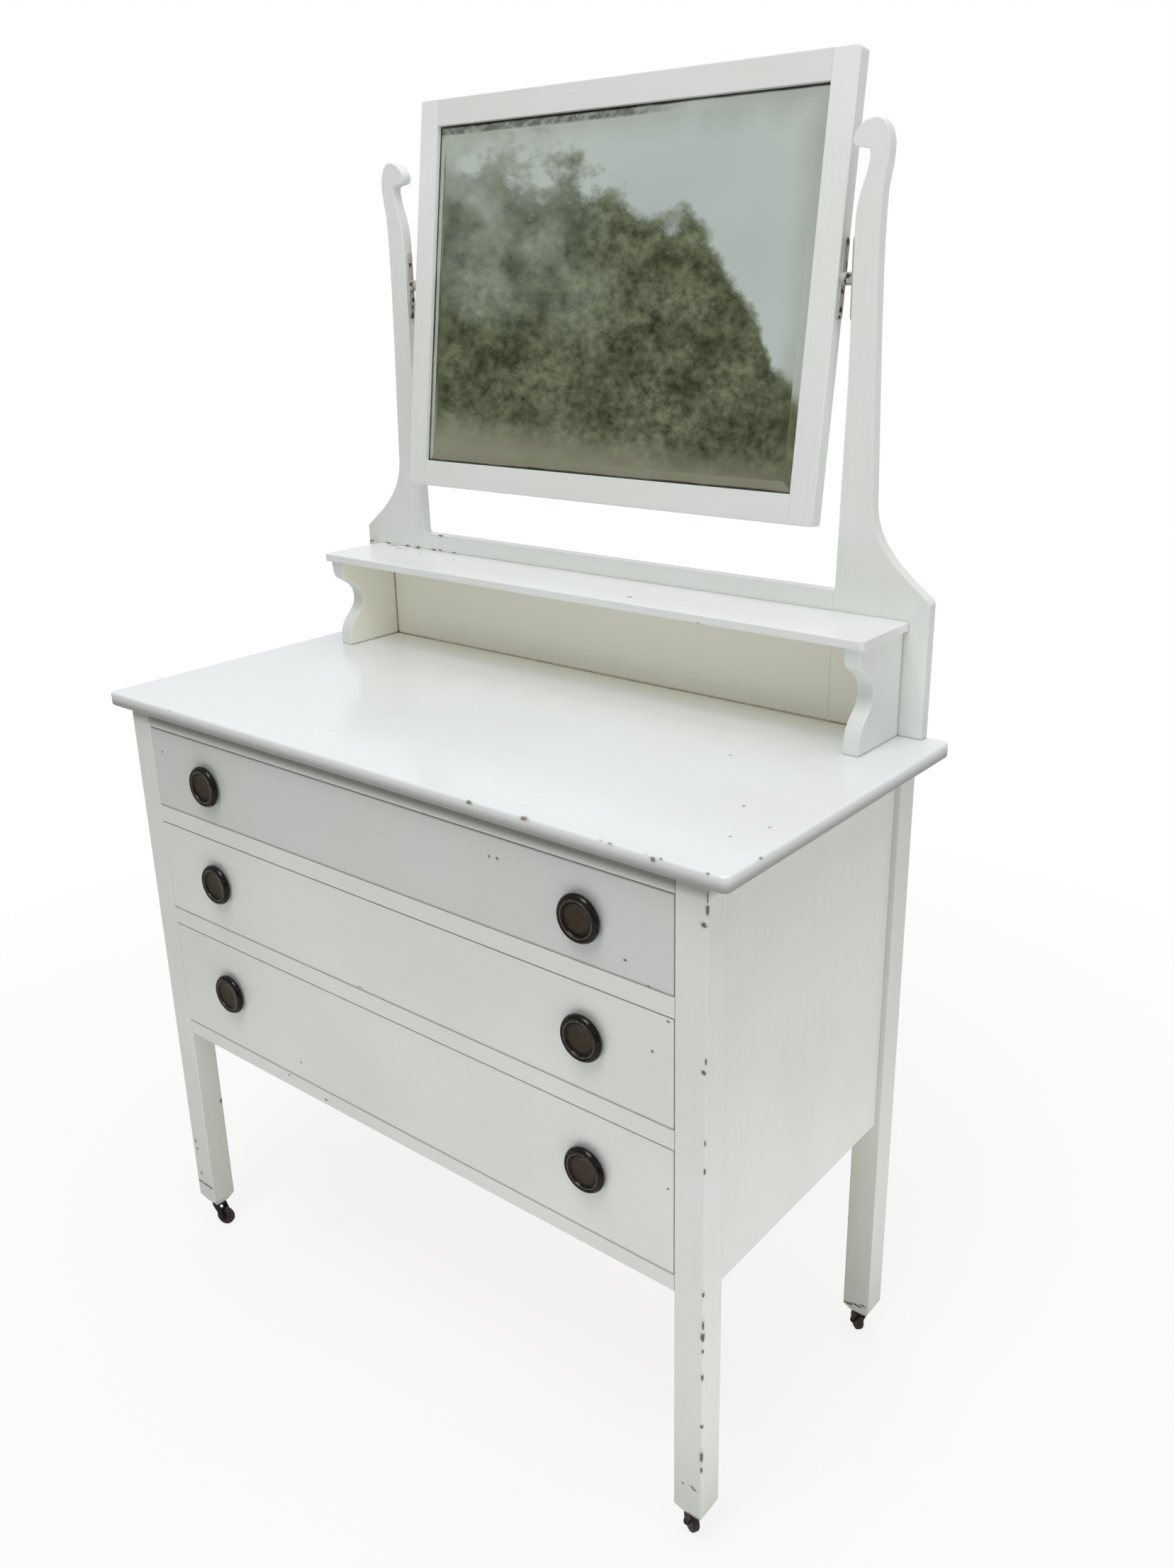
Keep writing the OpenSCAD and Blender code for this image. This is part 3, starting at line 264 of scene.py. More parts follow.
# The back right leg's enamel is painted darker than the others', as painted shade under the case,
# and each of these three legs darkens in a band under the top board, as painted shade.
for side, flakes, tones in (("front_right", near_flakes, case_white),
                            ("front_left", left_flakes, case_white),
                            ("back_right", back_flakes, ("#DBDEDB", "#D2D5CE"))):
    finish(nodes["leg_" + side],
           enamel("brushed_gloss_enamel_leg_" + side, "z", flakes, tones, painted_shade=(753, 765, 0.6)))
upright_enamel = enamel("brushed_gloss_enamel_upright", "z")
finish(nodes["leg_back_left"], upright_enamel)

# ---- Side panels and back -----------------------------------------------------------------
# Thin boards slid into grooves in the legs, so that each leg stands proud of them by 7 mm.
# The sides are enamelled like the rest, and the back was left as bare, browned pine.


# Bare softwood, planed and never finished: it browns in air, with dark latewood lines.
# In such flat sawn boards the rings come up as wavy lines about 5 mm apart.
def pine(name, grain, shift=(0, 0, 0)):
    made, tree, shader, place = new_finish(name)
    stretch = {"x": (0.10, 1, 1), "y": (1, 0.10, 1)}[grain]
    moved = add(tree, "Mapping", {"Vector": place, "Scale": stretch, "Location": shift}).outputs[0]
    rings = maths(tree, "MULTIPLY", noise(tree, moved, 0.055, 2.0), 22.0)
    rings = maths(tree, "PINGPONG", rings, 1.0)
    fibre = add(tree, "Mapping", {"Vector": place,
                                  "Scale": [s * (1 / 0.0012) for s in stretch]}).outputs[0]
    fibre = noise(tree, fibre, 1.0, 2.0)
    wood = mix(tree, ramp(tree, rings, 0.45, 1.0), "#C9B08A", "#B0915F")
    wood = vectors(tree, "SCALE", wood, ramp(tree, fibre, 0.0, 1.0, 0.82, 1.08))
    eased = add(tree, "Bevel", {"Radius": 0.0006}, samples=4).outputs[0]
    feed(tree, shader, {"Base Color": wood, "Roughness": 0.72, "Specular IOR Level": 0.3,
                        "Normal": relief(tree, fibre, 0.2, 0.0004, Normal=eased)})
    return made


for side in ("left", "right"):
    finish(nodes["side_panel_" + side], upright_enamel)
pine_across = pine("bare_pine_across", "x")
pine_deep = pine("bare_pine_front_to_back", "y", (3, 1, 2))
finish(nodes["back_panel"], pine_across)

# ---- Rails, runners, kickers and stops ------------------------------------------------------
# Front rails tenoned flush into the legs and enamelled, with bare pine runners, guides,
# kickers and stops behind them that the drawers slide on and stop against.
# The rails darken in a band just under the top board's overhang, as painted shade.
rail_enamel = enamel("brushed_gloss_enamel_rails", "x",
                     on_front(case_front, (-122, 330, 3.4, 2, 1.5), (-190, 338, 1.8, 2, 1.2)),
                     painted_shade=(752, 764, 0.9))
for name in ("top_rail", "divider_upper", "divider_lower", "bottom_rail"):
    finish(nodes[name], rail_enamel)
for name in ("back_rail_top", "back_rail_bottom", "drawer_stops"):
    finish(nodes[name], pine_across)
for name in ("runners_left", "runners_right", "kickers"):
    finish(nodes[name], pine_deep)

# ---- Top board ------------------------------------------------------------------------------
# One wide board with rounded corners and worn round edges, screwed up from below. Its enamel
# is the glossiest on the piece, knocked off in grey flakes along the front edge.


def new_object(name, data):
    """A new object in the scene."""
    made = bpy.data.objects.new(name, data)
    bpy.context.scene.collection.objects.link(made)
    return made


def board(name, outline, low, high, run, ease, steps=3):
    """A board in millimetres: its outline is run from low to high along one axis, and its
    arrises are rounded by ease."""
    turn = {"x": (1, 2, 0), "y": (0, 2, 1), "z": (0, 1, 2)}[run]
    shape = bmesh.new()
    ends = []
    for level in (low, high):
        ends.append([])
        for across, up in outline:
            place = [0, 0, 0]
            for axis, value in zip(turn, (across, up, level)):
                place[axis] = value / 1000
            ends[-1].append(shape.verts.new(place))
        shape.faces.new(ends[-1])
    for k in range(len(outline)):
        shape.faces.new((ends[0][k - 1], ends[0][k], ends[1][k], ends[1][k - 1]))
    bmesh.ops.recalc_face_normals(shape, faces=shape.faces)
    mesh = bpy.data.meshes.new(name)
    shape.to_mesh(mesh)
    shape.free()
    mesh.shade_smooth()
    made = new_object(name, mesh)
    worn = made.modifiers.new("eased_arrises", "BEVEL")
    worn.width, worn.segments, worn.harden_normals = ease / 1000, steps, True
    worn.limit_method, worn.angle_limit = "ANGLE", math.radians(35)
    return made


top_low, top_high = (1000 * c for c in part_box("top_board"))
front_y, top_z = top_low.y, top_high.z
corner_radius, edge_radius, corner_steps = 8, 3.4, 12
top_outline = []
for k in range(4):
    corner_x = (top_high.x - corner_radius) * (1 if k in (0, 3) else -1)
    corner_y = top_high.y - corner_radius if k in (0, 1) else front_y + corner_radius
    for step in range(corner_steps + 1):
        angle = math.pi / 2 * (k + step / corner_steps)
        top_outline.append((corner_x + corner_radius * math.cos(angle),
                            corner_y + corner_radius * math.sin(angle)))
top_marks = on_front(
    front_y, (160, top_z - 2, 4.2, 2.4, 2.6), (161, top_z - 15.5, 3.0, 2.4, 2.0),
    (231, top_z - 1.5, 5.6, 3.4, 2.6), (322, top_z, 3, 2, 1.4), (332, top_z, 4.6, 2.4, 1.8),
    (372, top_z, 2.6, 1.8, 1.2), (380.5, top_z - 3, 3.4, 2.0, 3), (388, top_z, 3.4, 2.2, 2),
    (437, top_z - 0.5, 2.4, 2.0, 1.8), (-330, top_z - 0.5, 2.6, 1.6, 1.2))
top_marks += [((x, front_y + deep, top_z), half) for x, deep, *half in (
    (top_high.x, 54, 2.4, 3.4, 2.2), (291, 256, 1.8, 2.2, 1), (380, 144, 1.7, 2.0, 1),
    (427, 114, 1.5, 1.8, 1), (410, 76, 1.2, 2.2, 1))]
gallery_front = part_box("gallery_board")[0].y * 1000
shelf_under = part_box("shelf")[0].z * 1000
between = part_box("bracket_right")[0].x * 1000
top_board = board("painted_top_board", top_outline, top_low.z, top_z, "z", edge_radius, 5)
# The top's enamel is painted paler than the case's, as painted light on the board, and its front
# edge darkens downwards as painted shade.
finish(top_board, enamel(
    "brushed_gloss_enamel_top", "x", top_marks, ("#EEF2F3", "#EAEDEC"), 0.15,
    ("#67625A", "#A29E96"), darkening=0.75, painted_shade=(788, 773, 0.8),
    niche=(between, shelf_under, gallery_front, gallery_front - 45, gallery_front - 3)))
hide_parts("top_board")
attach(top_board, "case")

# ---- Gallery: board, standards, brackets and shelf ----------------------------------------
# The board between the standards is tongued into them. Each standard is sawn from a board
# to a wide foot, a concave sweep and a narrow post with a rounded head that curls in, and
# each bracket to a double curve. The shelf lies on the brackets and is screwed from behind.


def drawn(points, *curves):
    """The points and what carries on from them along cubic curves. Each curve gives the two
    points that bend it, its end and how many points it takes."""
    outline = list(points)
    for near, far, end, count in curves:
        start = outline[-1]
        for k in range(1, count + 1):
            t = k / count
            shares = ((1 - t) ** 3, 3 * (1 - t) ** 2 * t, 3 * (1 - t) * t * t, t ** 3)
            outline.append(tuple(sum(share * point[axis] for share, point in
                                     zip(shares, (start, near, far, end))) for axis in (0, 1)))
    return outline


joint_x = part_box("gallery_board")[1].x * 1000 - 8     # the standards' inner edges, less the tongue
under_shelf = (between, shelf_under, gallery_front, gallery_front - 112, gallery_front - 110)
gallery_enamel = enamel(
    "brushed_gloss_enamel_gallery", "x",
    on_front(gallery_front, (-286, 937, 5, 3, 2.0), (-370, 916, 4, 2, 1.2),
             (-301, 916, 5, 2, 1.0), (-288, 916.5, 4, 2, 1.0), (-262, 916, 4, 2, 0.8)),
    upper_white, niche=under_shelf, darkening=0.8, filled=joint_x)
finish(nodes["gallery_board"], gallery_enamel)

foot_width, foot_height, waist_height, board_height = 114, 148, 245, 149
inset, post_width, head_width, head_height, full_height = 7, 27, 41, 64, 614
outer = inset + post_width
neck = full_height - head_height
post_length = neck - waist_height
nose = full_height - 0.37 * head_height
sweep = waist_height - foot_height
standard_outline = drawn(
    [(0, 0), (foot_width, 0), (foot_width, foot_height), (foot_width - 3, foot_height + 4)],
    ((foot_width * 0.7, foot_height + sweep * 0.29), (outer + 10, waist_height - sweep * 0.46),
     (outer + 8, waist_height), 36),
    ((outer + 5, waist_height + post_length * 0.345), (outer - 2, neck - post_length * 0.23),
     (outer + 2, neck), 30),
    ((outer + 4, neck + head_height * 0.22), (head_width + 1, neck + head_height * 0.42),
     (head_width, neck + head_height * 0.66), 16),
    ((head_width - 1, neck + head_height * 0.8), (head_width - 6, full_height - 1),
     (head_width - 14, full_height), 16),
    ((head_width - 21, full_height), (inset + 6, full_height - 1),
     (inset + 1, full_height - head_height * 0.1), 16),
    ((inset - 5, full_height - head_height * 0.17), (inset - 8, nose + head_height * 0.1),
     (inset - 5, nose + 1), 16),
    ((inset - 2, nose - 3), (inset + 6, nose - 1.5), (inset + 12, nose - 4), 12),
    ((inset + 15, nose - 6), (inset + 13, nose - head_height * 0.28),
     (inset + 9, nose - head_height * 0.46), 12),
    ((inset + 5, nose - head_height * 0.64), (inset, nose - head_height * 0.85),
     (inset, nose - head_height * 1.15), 12))
standard_outline += [(inset, waist_height + post_length * 0.42), (2, board_height + 4),
                     (0, board_height)]
standard_enamel = enamel(
    "brushed_gloss_enamel_standards", "z",
    on_front(gallery_front, (-429.5, 914, 3.4, 2.5, 2.0), (-424, 916, 4, 2, 1.0),
             (-352, 916, 5, 2, 1.2), (-331, 916, 4, 2, 1.4), (-391, 916, 5, 2, 1.0)),
    upper_white, niche=under_shelf, darkening=0.8, filled=joint_x)
gallery_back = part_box("standard_right")[1].y * 1000
arris_radius = 0.9
for side, s in (("left", -1), ("right", 1)):
    outline = [(s * (joint_x + across), top_z + up) for across, up in standard_outline]
    standard = board("sawn_standard_" + side, outline, gallery_front, gallery_back, "y",
                     arris_radius)
    finish(standard, standard_enamel)
    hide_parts("standard_" + side)
    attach(standard, "case")

shelf_gap, bracket_thickness = shelf_under - top_z, 19
bracket_top, bracket_waist, bracket_foot = 95, 61, 88
bracket_middle = shelf_gap * 0.53
bracket_outline = drawn(
    [(0, 0), (0, shelf_gap), (-bracket_top, shelf_gap), (-bracket_top + 2, shelf_gap - 17)],
    ((-bracket_top + 5, bracket_middle + 24), (-bracket_waist - 1, bracket_middle + 26),
     (-bracket_waist, bracket_middle), 28),
    ((-bracket_waist, bracket_middle - 20), (-bracket_foot + 4, bracket_middle - 22),
     (-bracket_foot + 1, 16), 28)) + [(-bracket_foot, 0)]
bracket_enamel = enamel("brushed_gloss_enamel_brackets", "z", tones=upper_white,
                        niche=under_shelf, darkening=0.7)
for side, s in (("left", -1), ("right", 1)):
    outline = [(gallery_front + across, top_z + up) for across, up in bracket_outline]
    ends = sorted((s * between, s * (between + bracket_thickness)))
    bracket = board("sawn_bracket_" + side, outline, *ends, "x", arris_radius)
    finish(bracket, bracket_enamel)
    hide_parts("bracket_" + side)
    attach(bracket, "case")
finish(nodes["bracket_dowels"], pine_across)
shelf_top = 915
shelf_marks = [((x, y, shelf_top), half) for x, y, *half in (
    (94, 110, 4, 3, 1), (-350, 165, 5, 2, 1), (-301, 158, 4, 1.6, 1), (-372, 178, 8, 2.4, 1),
    (-330, 180, 7, 2.2, 1), (-230, 150, 2.4, 1.6, 1))]
shelf_marks += on_front(gallery_front - 101, (208, 905, 2.4, 2, 1.6))
finish(nodes["shelf"], enamel(
    "brushed_gloss_enamel_shelf", "x", shelf_marks, ("#EEF1F1", "#EAECE9"),
    wood=("#67625A", "#A29E96"), niche=under_shelf, darkening=0.6))

# ---- Screws ----------------------------------------------------------------------------------
# Slotted steel wood screws, turned and dulled with age: five up into the top board, two up
# into each standard and three through the board behind the shelf.


# Mild steel, machined and gone dull: a brownish bloom in patches 3 mm wide.
def steel(name):
    made, tree, shader, place = new_finish(name)
    bloom = noise(tree, place, 0.003, 3.0)
    feed(tree, shader, {
        "Base Color": mix(tree, bloom, "#8E8C86", "#6A5C4C"), "Metallic": 1.0,
        "Roughness": ramp(tree, bloom, 0.0, 1.0, 0.32, 0.62),
        "Normal": relief(tree, bloom, 0.15, 0.0003)})
    return made


def new_tree(name, sockets):
    """An empty tree of geometry nodes with the named inputs, and its input and output nodes."""
    tree = bpy.data.node_groups.new(name, "GeometryNodeTree")
    for label, kind in [("Profile", "Geometry"), ("Sides", "Int")] + sockets:
        tree.interface.new_socket(label, in_out="INPUT", socket_type="NodeSocket" + kind)
    tree.interface.new_socket("Shape", in_out="OUTPUT", socket_type="NodeSocketGeometry")
    return tree, add(tree, "NodeGroupInput").outputs, add(tree, "NodeGroupOutput").inputs


# Turning: a profile of points, out from the axis in X and along it in Z, is swept round the
# axis. A grid is rolled up: its rows take the profile's points, its columns the angles.
turning, given, result = new_tree("turning", [])
count = add(turning, "GeometryNodeAttributeDomainSize", {0: given["Profile"]}).outputs[0]
columns = maths(turning, "ADD", given["Sides"], 1.0)
sheet = add(turning, "GeometryNodeMeshGrid", {"Vertices X": columns,
                                              "Vertices Y": count}).outputs[0]
index = add(turning, "GeometryNodeInputIndex").outputs[0]
row = maths(turning, "MODULO", index, count)
column = maths(turning, "FLOOR", maths(turning, "DIVIDE", index, count))
angle = maths(turning, "MULTIPLY", column, 2 * math.pi)
angle = maths(turning, "DIVIDE", angle, given["Sides"])
point = add(turning, "GeometryNodeInputPosition").outputs[0]
point = add(turning, "GeometryNodeSampleIndex", {0: given["Profile"], 1: point, 2: row},
            data_type="FLOAT_VECTOR").outputs[0]
parts = add(turning, "SeparateXYZ", {0: point}).outputs
swept = [maths(turning, "MULTIPLY", parts["X"], maths(turning, wave, angle))
         for wave in ("COSINE", "SINE")]
swept = add(turning, "CombineXYZ", {0: swept[0], 1: swept[1], 2: parts["Z"]}).outputs[0]
rolled = add(turning, "GeometryNodeSetPosition", {0: sheet, "Position": swept}).outputs[0]
closed = add(turning, "GeometryNodeMergeByDistance", {0: rolled, "Distance": 1e-6}).outputs[0]
turning.links.new(closed, result[0])


def turned(tree, given):
    """What the tree's profile sweeps out."""
    return add(tree, "GeometryNodeGroup", {label: given[label] for label in ("Profile", "Sides")},
               node_tree=turning).outputs[0]


def coat(tree, shape, given, result):
    """Makes the shape real, gives it the tree's finish and hands it out."""
    real = add(tree, "GeometryNodeRealizeInstances", {0: shape}).outputs[0]
    coated = add(tree, "GeometryNodeSetMaterial", {0: real, "Material": given["Finish"]})
    tree.links.new(coated.outputs[0], result[0])


# A row of slotted screws: one is turned, its slot is cut, and it is set along the row. The
# slot is 0.24 of the shank's diameter wide and half of it high, so it cuts half as deep.
screw_row, given, result = new_tree("slotted_screw_row", [
    ("Diameter", "Float"), ("First", "Vector"), ("Step", "Vector"),
    ("Count", "Int"), ("Turn", "Rotation"), ("Finish", "Material")])
slot_size = vectors(screw_row, "SCALE", (3.0, 0.24, 0.5), given["Diameter"])
slot = add(screw_row, "GeometryNodeMeshCube", {"Size": slot_size}).outputs[0]
cut = add(screw_row, "GeometryNodeMeshBoolean", {0: turned(screw_row, given), 1: slot},
          operation="DIFFERENCE").outputs[0]
line = add(screw_row, "GeometryNodeMeshLine", {"Count": given["Count"], "Offset": given["Step"],
                                               "Start Location": given["First"]}).outputs[0]
placed = add(screw_row, "GeometryNodeInstanceOnPoints", {
    "Points": line, "Instance": cut, "Rotation": given["Turn"]}).outputs[0]
coat(screw_row, placed, given, result)


def grown(name, profile, tree, settings):
    """The plain mesh that a tree makes from a profile in millimetres, its inputs set by name."""
    start = bpy.data.meshes.new(name + "_profile")
    start.from_pydata([(r / 1000, 0, z / 1000) for r, z in profile],
                      [(k, k + 1) for k in range(len(profile) - 1)], [])
    holder = new_object(name, start)
    worker = holder.modifiers.new("grown", "NODES")
    worker.node_group = tree
    sockets = {s.name: s.identifier for s in tree.interface.items_tree if s.in_out == "INPUT"}
    for label, value in settings.items():
        worker[sockets[label]] = value
    bpy.context.view_layer.update()
    seen = holder.evaluated_get(bpy.context.evaluated_depsgraph_get())
    made = bpy.data.meshes.new_from_object(seen)
    holder.modifiers.clear()
    holder.data = made
    made.name = name
    made.shade_smooth()
    made.set_sharp_from_angle(angle=math.radians(38))
    return holder


def joined(name, pieces):
    """One object from several, which are then deleted."""
    whole = bmesh.new()
    for piece in pieces:
        whole.from_mesh(piece.data)
    mesh = bpy.data.meshes.new(name)
    whole.to_mesh(mesh)
    whole.free()
    for kept in pieces[0].data.materials:
        mesh.materials.append(kept)
    for piece in pieces:
        bpy.data.objects.remove(piece)
    return new_object(name, mesh)


def screw_profile(d, l):
    """A countersunk screw of diameter d and length l, its head's face at 0 and its tip up."""
    return [(0, 0), (d * 0.94, 0), (d, 0.3), (d * 0.62, d * 0.4 + 0.3), (d / 2, d / 2 + 0.5),
            (d / 2, l - d * 1.2), (d / 4, l - d / 4), (0, l)]


dull_steel = steel("dull_screw_steel")
rail_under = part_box("top_rail")[0].z * 1000
rail_middle = case_front + 36
kicker_middle = 1000 * sum(c.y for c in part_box("kickers")) / 2 + 5
foot_screws, foot_depth = joint_x + 24, gallery_front + 7
up, forwards = (0.0, 0.0, 0.0), (math.pi / 2, 0.0, 0.0)
screw_rows = []
for name, d, l, first, step, number, turn in (
        ("rail_screws", 4, 30, (-260, rail_middle, rail_under), 260, 3, up),
        ("kicker_screws", 4, 30, (-385, kicker_middle, rail_under), 770, 2, up),
        ("left_foot_screws", 4, 42, (-foot_screws - 66, foot_depth, top_low.z), 66, 2, up),
        ("right_foot_screws", 4, 42, (foot_screws, foot_depth, top_low.z), 66, 2, up),
        ("shelf_screws", 3, 34, (-200, gallery_back, shelf_under + 5), 200, 3, forwards)):
    screw_rows.append(grown(name, screw_profile(d, l), screw_row, {
        "Sides": 32, "Diameter": d / 1000, "First": [v / 1000 for v in first],
        "Step": (step / 1000, 0, 0), "Count": number, "Turn": turn, "Finish": dull_steel}))
screws = joined("slotted_wood_screws", screw_rows)
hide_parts("fixing_screws")
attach(screws, "case")

# ---- Mirror movements ------------------------------------------------------------------------
# Iron plates with bosses, screwed to the standards and to the frame and painted over with
# them. The enamel is a mottled grey, darker than the white round it, and flaked to black iron,
# where the mirror turns.
joints = {joint["name"]: joint for joint in frame["joints"]}
pivot = [1000 * c for c in joints["mirror_tilt"]["pos_m"]]
lean = math.radians(7.8)
arm_x, plate_x = 308, 321
iron_tones = ("#1E1A18", "#4A4540")
for side, s in (("left", -1), ("right", 1)):
    arm_scars = [((s * arm_x, pivot[1] + up * math.tan(lean) + shift, pivot[2] + up), (3, w, h))
                 for up, shift, w, h in ((35, 0, 3.2, 4.2), (-4, 2, 3.6, 3.6), (-12, -1, 3.0, 3.2),
                                         (-30, 0, 3.6, 3.6), (-37, -1, 2.6, 2.2), (12, 3, 1.6, 6))]
    arm_scars.append(((s * (arm_x + 7), pivot[1] - 4, pivot[2] - 2), (5, 4.5, 4)))
    plate_scars = [((s * plate_x, pivot[1] - 2 + shift, pivot[2] + up), (2.4, w, h))
                   for up, shift, w, h in ((25, 0, 2.6, 3.4), (-5, 1, 2.6, 4.4), (-17, 2, 2.8, 3.4),
                                           (-37, -1, 2.8, 6.4), (-26, 0, 1.8, 3.0))]
    plate_scars.append(((s * (plate_x - 5), pivot[1] - 4, pivot[2] + 2), (5, 4.5, 4)))
    for node, kind, scars, tones, gloss in (
            ("mirror_arm_", "arm_", arm_scars, ("#D6D4CF", "#A39F98"), 0.45),
            ("movement_plate_", "plate_", plate_scars, ("#DAD8D3", "#ABA6A0"), 0.4)):
        finish(nodes[node + side], enamel("flaked_enamel_on_iron_" + kind + side, "z", scars,
                                          tones, gloss, iron_tones))

# ---- Drawers --------------------------------------------------------------------------------
# Three drawers with enamelled fronts that are lap dovetailed to bare pine sides, a back in
# housings and a thin bottom in grooves. The top one's front is painted greyer than the others,
# as painted shade under the top board, and each front darkens towards its lower edge as painted
# shade.
for n, tones, marks in (
        (1, ("#D2D5D3", "#CED1CB"),
         ((-375, 723, 1.8, 2, 1.7), (172, 728.5, 2.0, 2, 2.0), (182.6, 729, 2.0, 2, 2.0),
          (339, 669, 2.8, 2, 1.5), (366, 651, 2.0, 2, 1.1))),
        (2, case_white,
         ((388, 622, 2.0, 2, 1.5), (370, 584, 1.9, 2, 1.9), (-40, 512, 4, 2, 0.7))),
        (3, case_white, ((-164, 366, 2.0, 2, 1.6), (388, 440, 1.6, 2, 1.2)))):
    drawer_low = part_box(f"drawer_{n}_front")[0].z * 1000
    finish(nodes[f"drawer_{n}_front"],
           enamel(f"brushed_gloss_enamel_drawer_{n}", "x", on_front(case_front, *marks), tones,
                  wood=("#5A534B", "#948E85"), painted_shade=(drawer_low + 4, drawer_low + 1, 0.5)))
    finish(nodes[f"drawer_{n}_sides"], pine_deep)
    for part in ("back", "bottom"):
        finish(nodes[f"drawer_{n}_{part}"], pine_across)

# ---- Knobs -----------------------------------------------------------------------------------
# Flat turned brass knobs with a rolled rim, a fine raised ring and a dished middle, patinated
# to dark bronze, each held by a bolt and a nut inside the drawer. The ring is rubbed paler, and
# painted paler as a highlight along its crest.


# Brass with a dark bronze patina: near black and glossy on the rim, blackest in the groove,
# rubbed to a dull grey brown on the ring, with a painted highlight there, and browner in the
# dish. Spots of wear are 4 mm wide.
def patinated(name, middles):
    made, tree, shader, place = new_finish(name)
    nearest = None
    for x, z in middles:
        flat = vectors(tree, "SUBTRACT", place, (x / 1000, 0, z / 1000))
        far = vectors(tree, "LENGTH", vectors(tree, "MULTIPLY", flat, (1, 0, 1)))
        nearest = far if nearest is None else maths(tree, "MINIMUM", nearest, far)
    handled = noise(tree, place, 0.004, 3.0)
    dish = ramp(tree, nearest, 0.0125, 0.0150, 1.0, 0.0)
    off_ring = maths(tree, "ABSOLUTE", maths(tree, "SUBTRACT", nearest, 0.0192))
    ring_wear_and_highlight = ramp(tree, off_ring, 0.0004, 0.0014, 0.42, 0.0)
    tone = mix(tree, ramp(tree, handled, 0.56, 0.72, 0.0, 0.35), "#0F0C09", "#4C433A")
    tone = mix(tree, dish, tone, mix(tree, handled, "#1A110A", "#44341F"))
    tone = mix(tree, maths(tree, "MULTIPLY", ring_wear_and_highlight, handled), tone, "#A0917C")
    rough = add(tree, "Mix", {0: dish, 2: 0.14, 3: 0.45}).outputs[0]
    feed(tree, shader, {"Base Color": tone, "Roughness": rough, "Specular IOR Level": 0.22,
                        "Normal": relief(tree, handled, 0.15, 0.0004)})
    return made


# A pair of knobs: one is turned, its hexagon nut is added behind the drawer front, and both
# are set facing the front at the two places in the row.
knob_pair, given, result = new_tree("turned_knob_pair", [
    ("Nut width", "Float"), ("Nut depth", "Float"), ("Nut place", "Vector"),
    ("First", "Vector"), ("Step", "Vector"), ("Finish", "Material")])
corner = maths(knob_pair, "DIVIDE", given["Nut width"], math.sqrt(3))
nut = add(knob_pair, "GeometryNodeMeshCylinder", {"Vertices": 6, "Radius": corner,
                                                  "Depth": given["Nut depth"]}).outputs[0]
nut = add(knob_pair, "GeometryNodeTransform", {0: nut, "Translation": given["Nut place"]})
knob = add(knob_pair, "GeometryNodeJoinGeometry", {0: turned(knob_pair, given)})
knob_pair.links.new(nut.outputs[0], knob.inputs[0])
line = add(knob_pair, "GeometryNodeMeshLine", {"Count": 2, "Offset": given["Step"],
                                               "Start Location": given["First"]}).outputs[0]
placed = add(knob_pair, "GeometryNodeInstanceOnPoints", {
    "Points": line, "Instance": knob.outputs[0], "Rotation": (math.pi / 2, 0, 0)}).outputs[0]
coat(knob_pair, placed, given, result)

front_thickness, nut_width, nut_depth, bolt_radius, knob_radius = 20, 10, 4, 2.5, 25.5
bolt_end = -front_thickness - nut_depth - 2
knob_outline = drawn(
    [(0, bolt_end), (bolt_radius, bolt_end), (bolt_radius, 0), (18, 0)],
    ((18, 1.5), (22.5, 1.2), (24.7, 3.5), 8),
    ((25.5, 4.6), (25.5, 6.2), (24.6, 7.4), 8),
    ((23.4, 9.6), (21.8, 10.2), (20.8, 9.3), 10),
    ((20.5, 8.9), (20.3, 8.9), (20.1, 9.2), 3),
    ((19.6, 10.1), (18.7, 10.1), (18.2, 9.2), 8),
    ((17.6, 7.3), (16.6, 7.3), (16.0, 8.1), 8),
    ((12, 7.0), (6, 7.0), (0, 7.0), 10))
for n in (1, 2, 3):
    low, high = (1000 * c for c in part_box(f"drawer_{n}_knobs"))
    knob_x, knob_z = high.x - knob_radius, (low.z + high.z) / 2
    patina = patinated(f"patinated_brass_{n}", [(s * knob_x, knob_z) for s in (-1, 1)])
    knobs = grown(f"turned_knobs_{n}", knob_outline, knob_pair, {
        "Sides": 96, "Nut width": nut_width / 1000, "Nut depth": nut_depth / 1000,
        "Nut place": (0, 0, -(front_thickness + nut_depth / 2) / 1000),
        "First": (-knob_x / 1000, case_front / 1000, knob_z / 1000),
        "Step": (2 * knob_x / 1000, 0, 0), "Finish": patina})
    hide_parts(f"drawer_{n}_knobs")
    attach(knobs, f"drawer_{n}")

# ---- Mirror -----------------------------------------------------------------------------------
# A rebated frame with tenoned corners, a thick silvered plate with a bevel round its edge,
# and a thin backing board. It leans back a little, as it was left.
frame_marks = [((299, 168, 1026), (3, 4, 5)), ((300, 172, 1034), (2.4, 4, 3)),
               ((291, 160, 1022), (2.4, 4, 2)), ((293, 205, 1322), (1.8, 2.4, 1.8)),
               ((306, 200, 1288), (2, 3, 3)), ((-60, 222, 1470), (4, 5, 1.6)),
               ((-290, 158, 1022), (2.4, 4, 2))]
for part, grain, tones in (("stile_left", "z", upper_white), ("stile_right", "z", upper_white),
                           ("rail_top", "x", ("#E3E6E4", "#DEE1DB")),
                           ("rail_bottom", "x", upper_white)):
    finish(nodes["mirror_" + part],
           enamel("brushed_gloss_enamel_" + part, grain, frame_marks, tones))


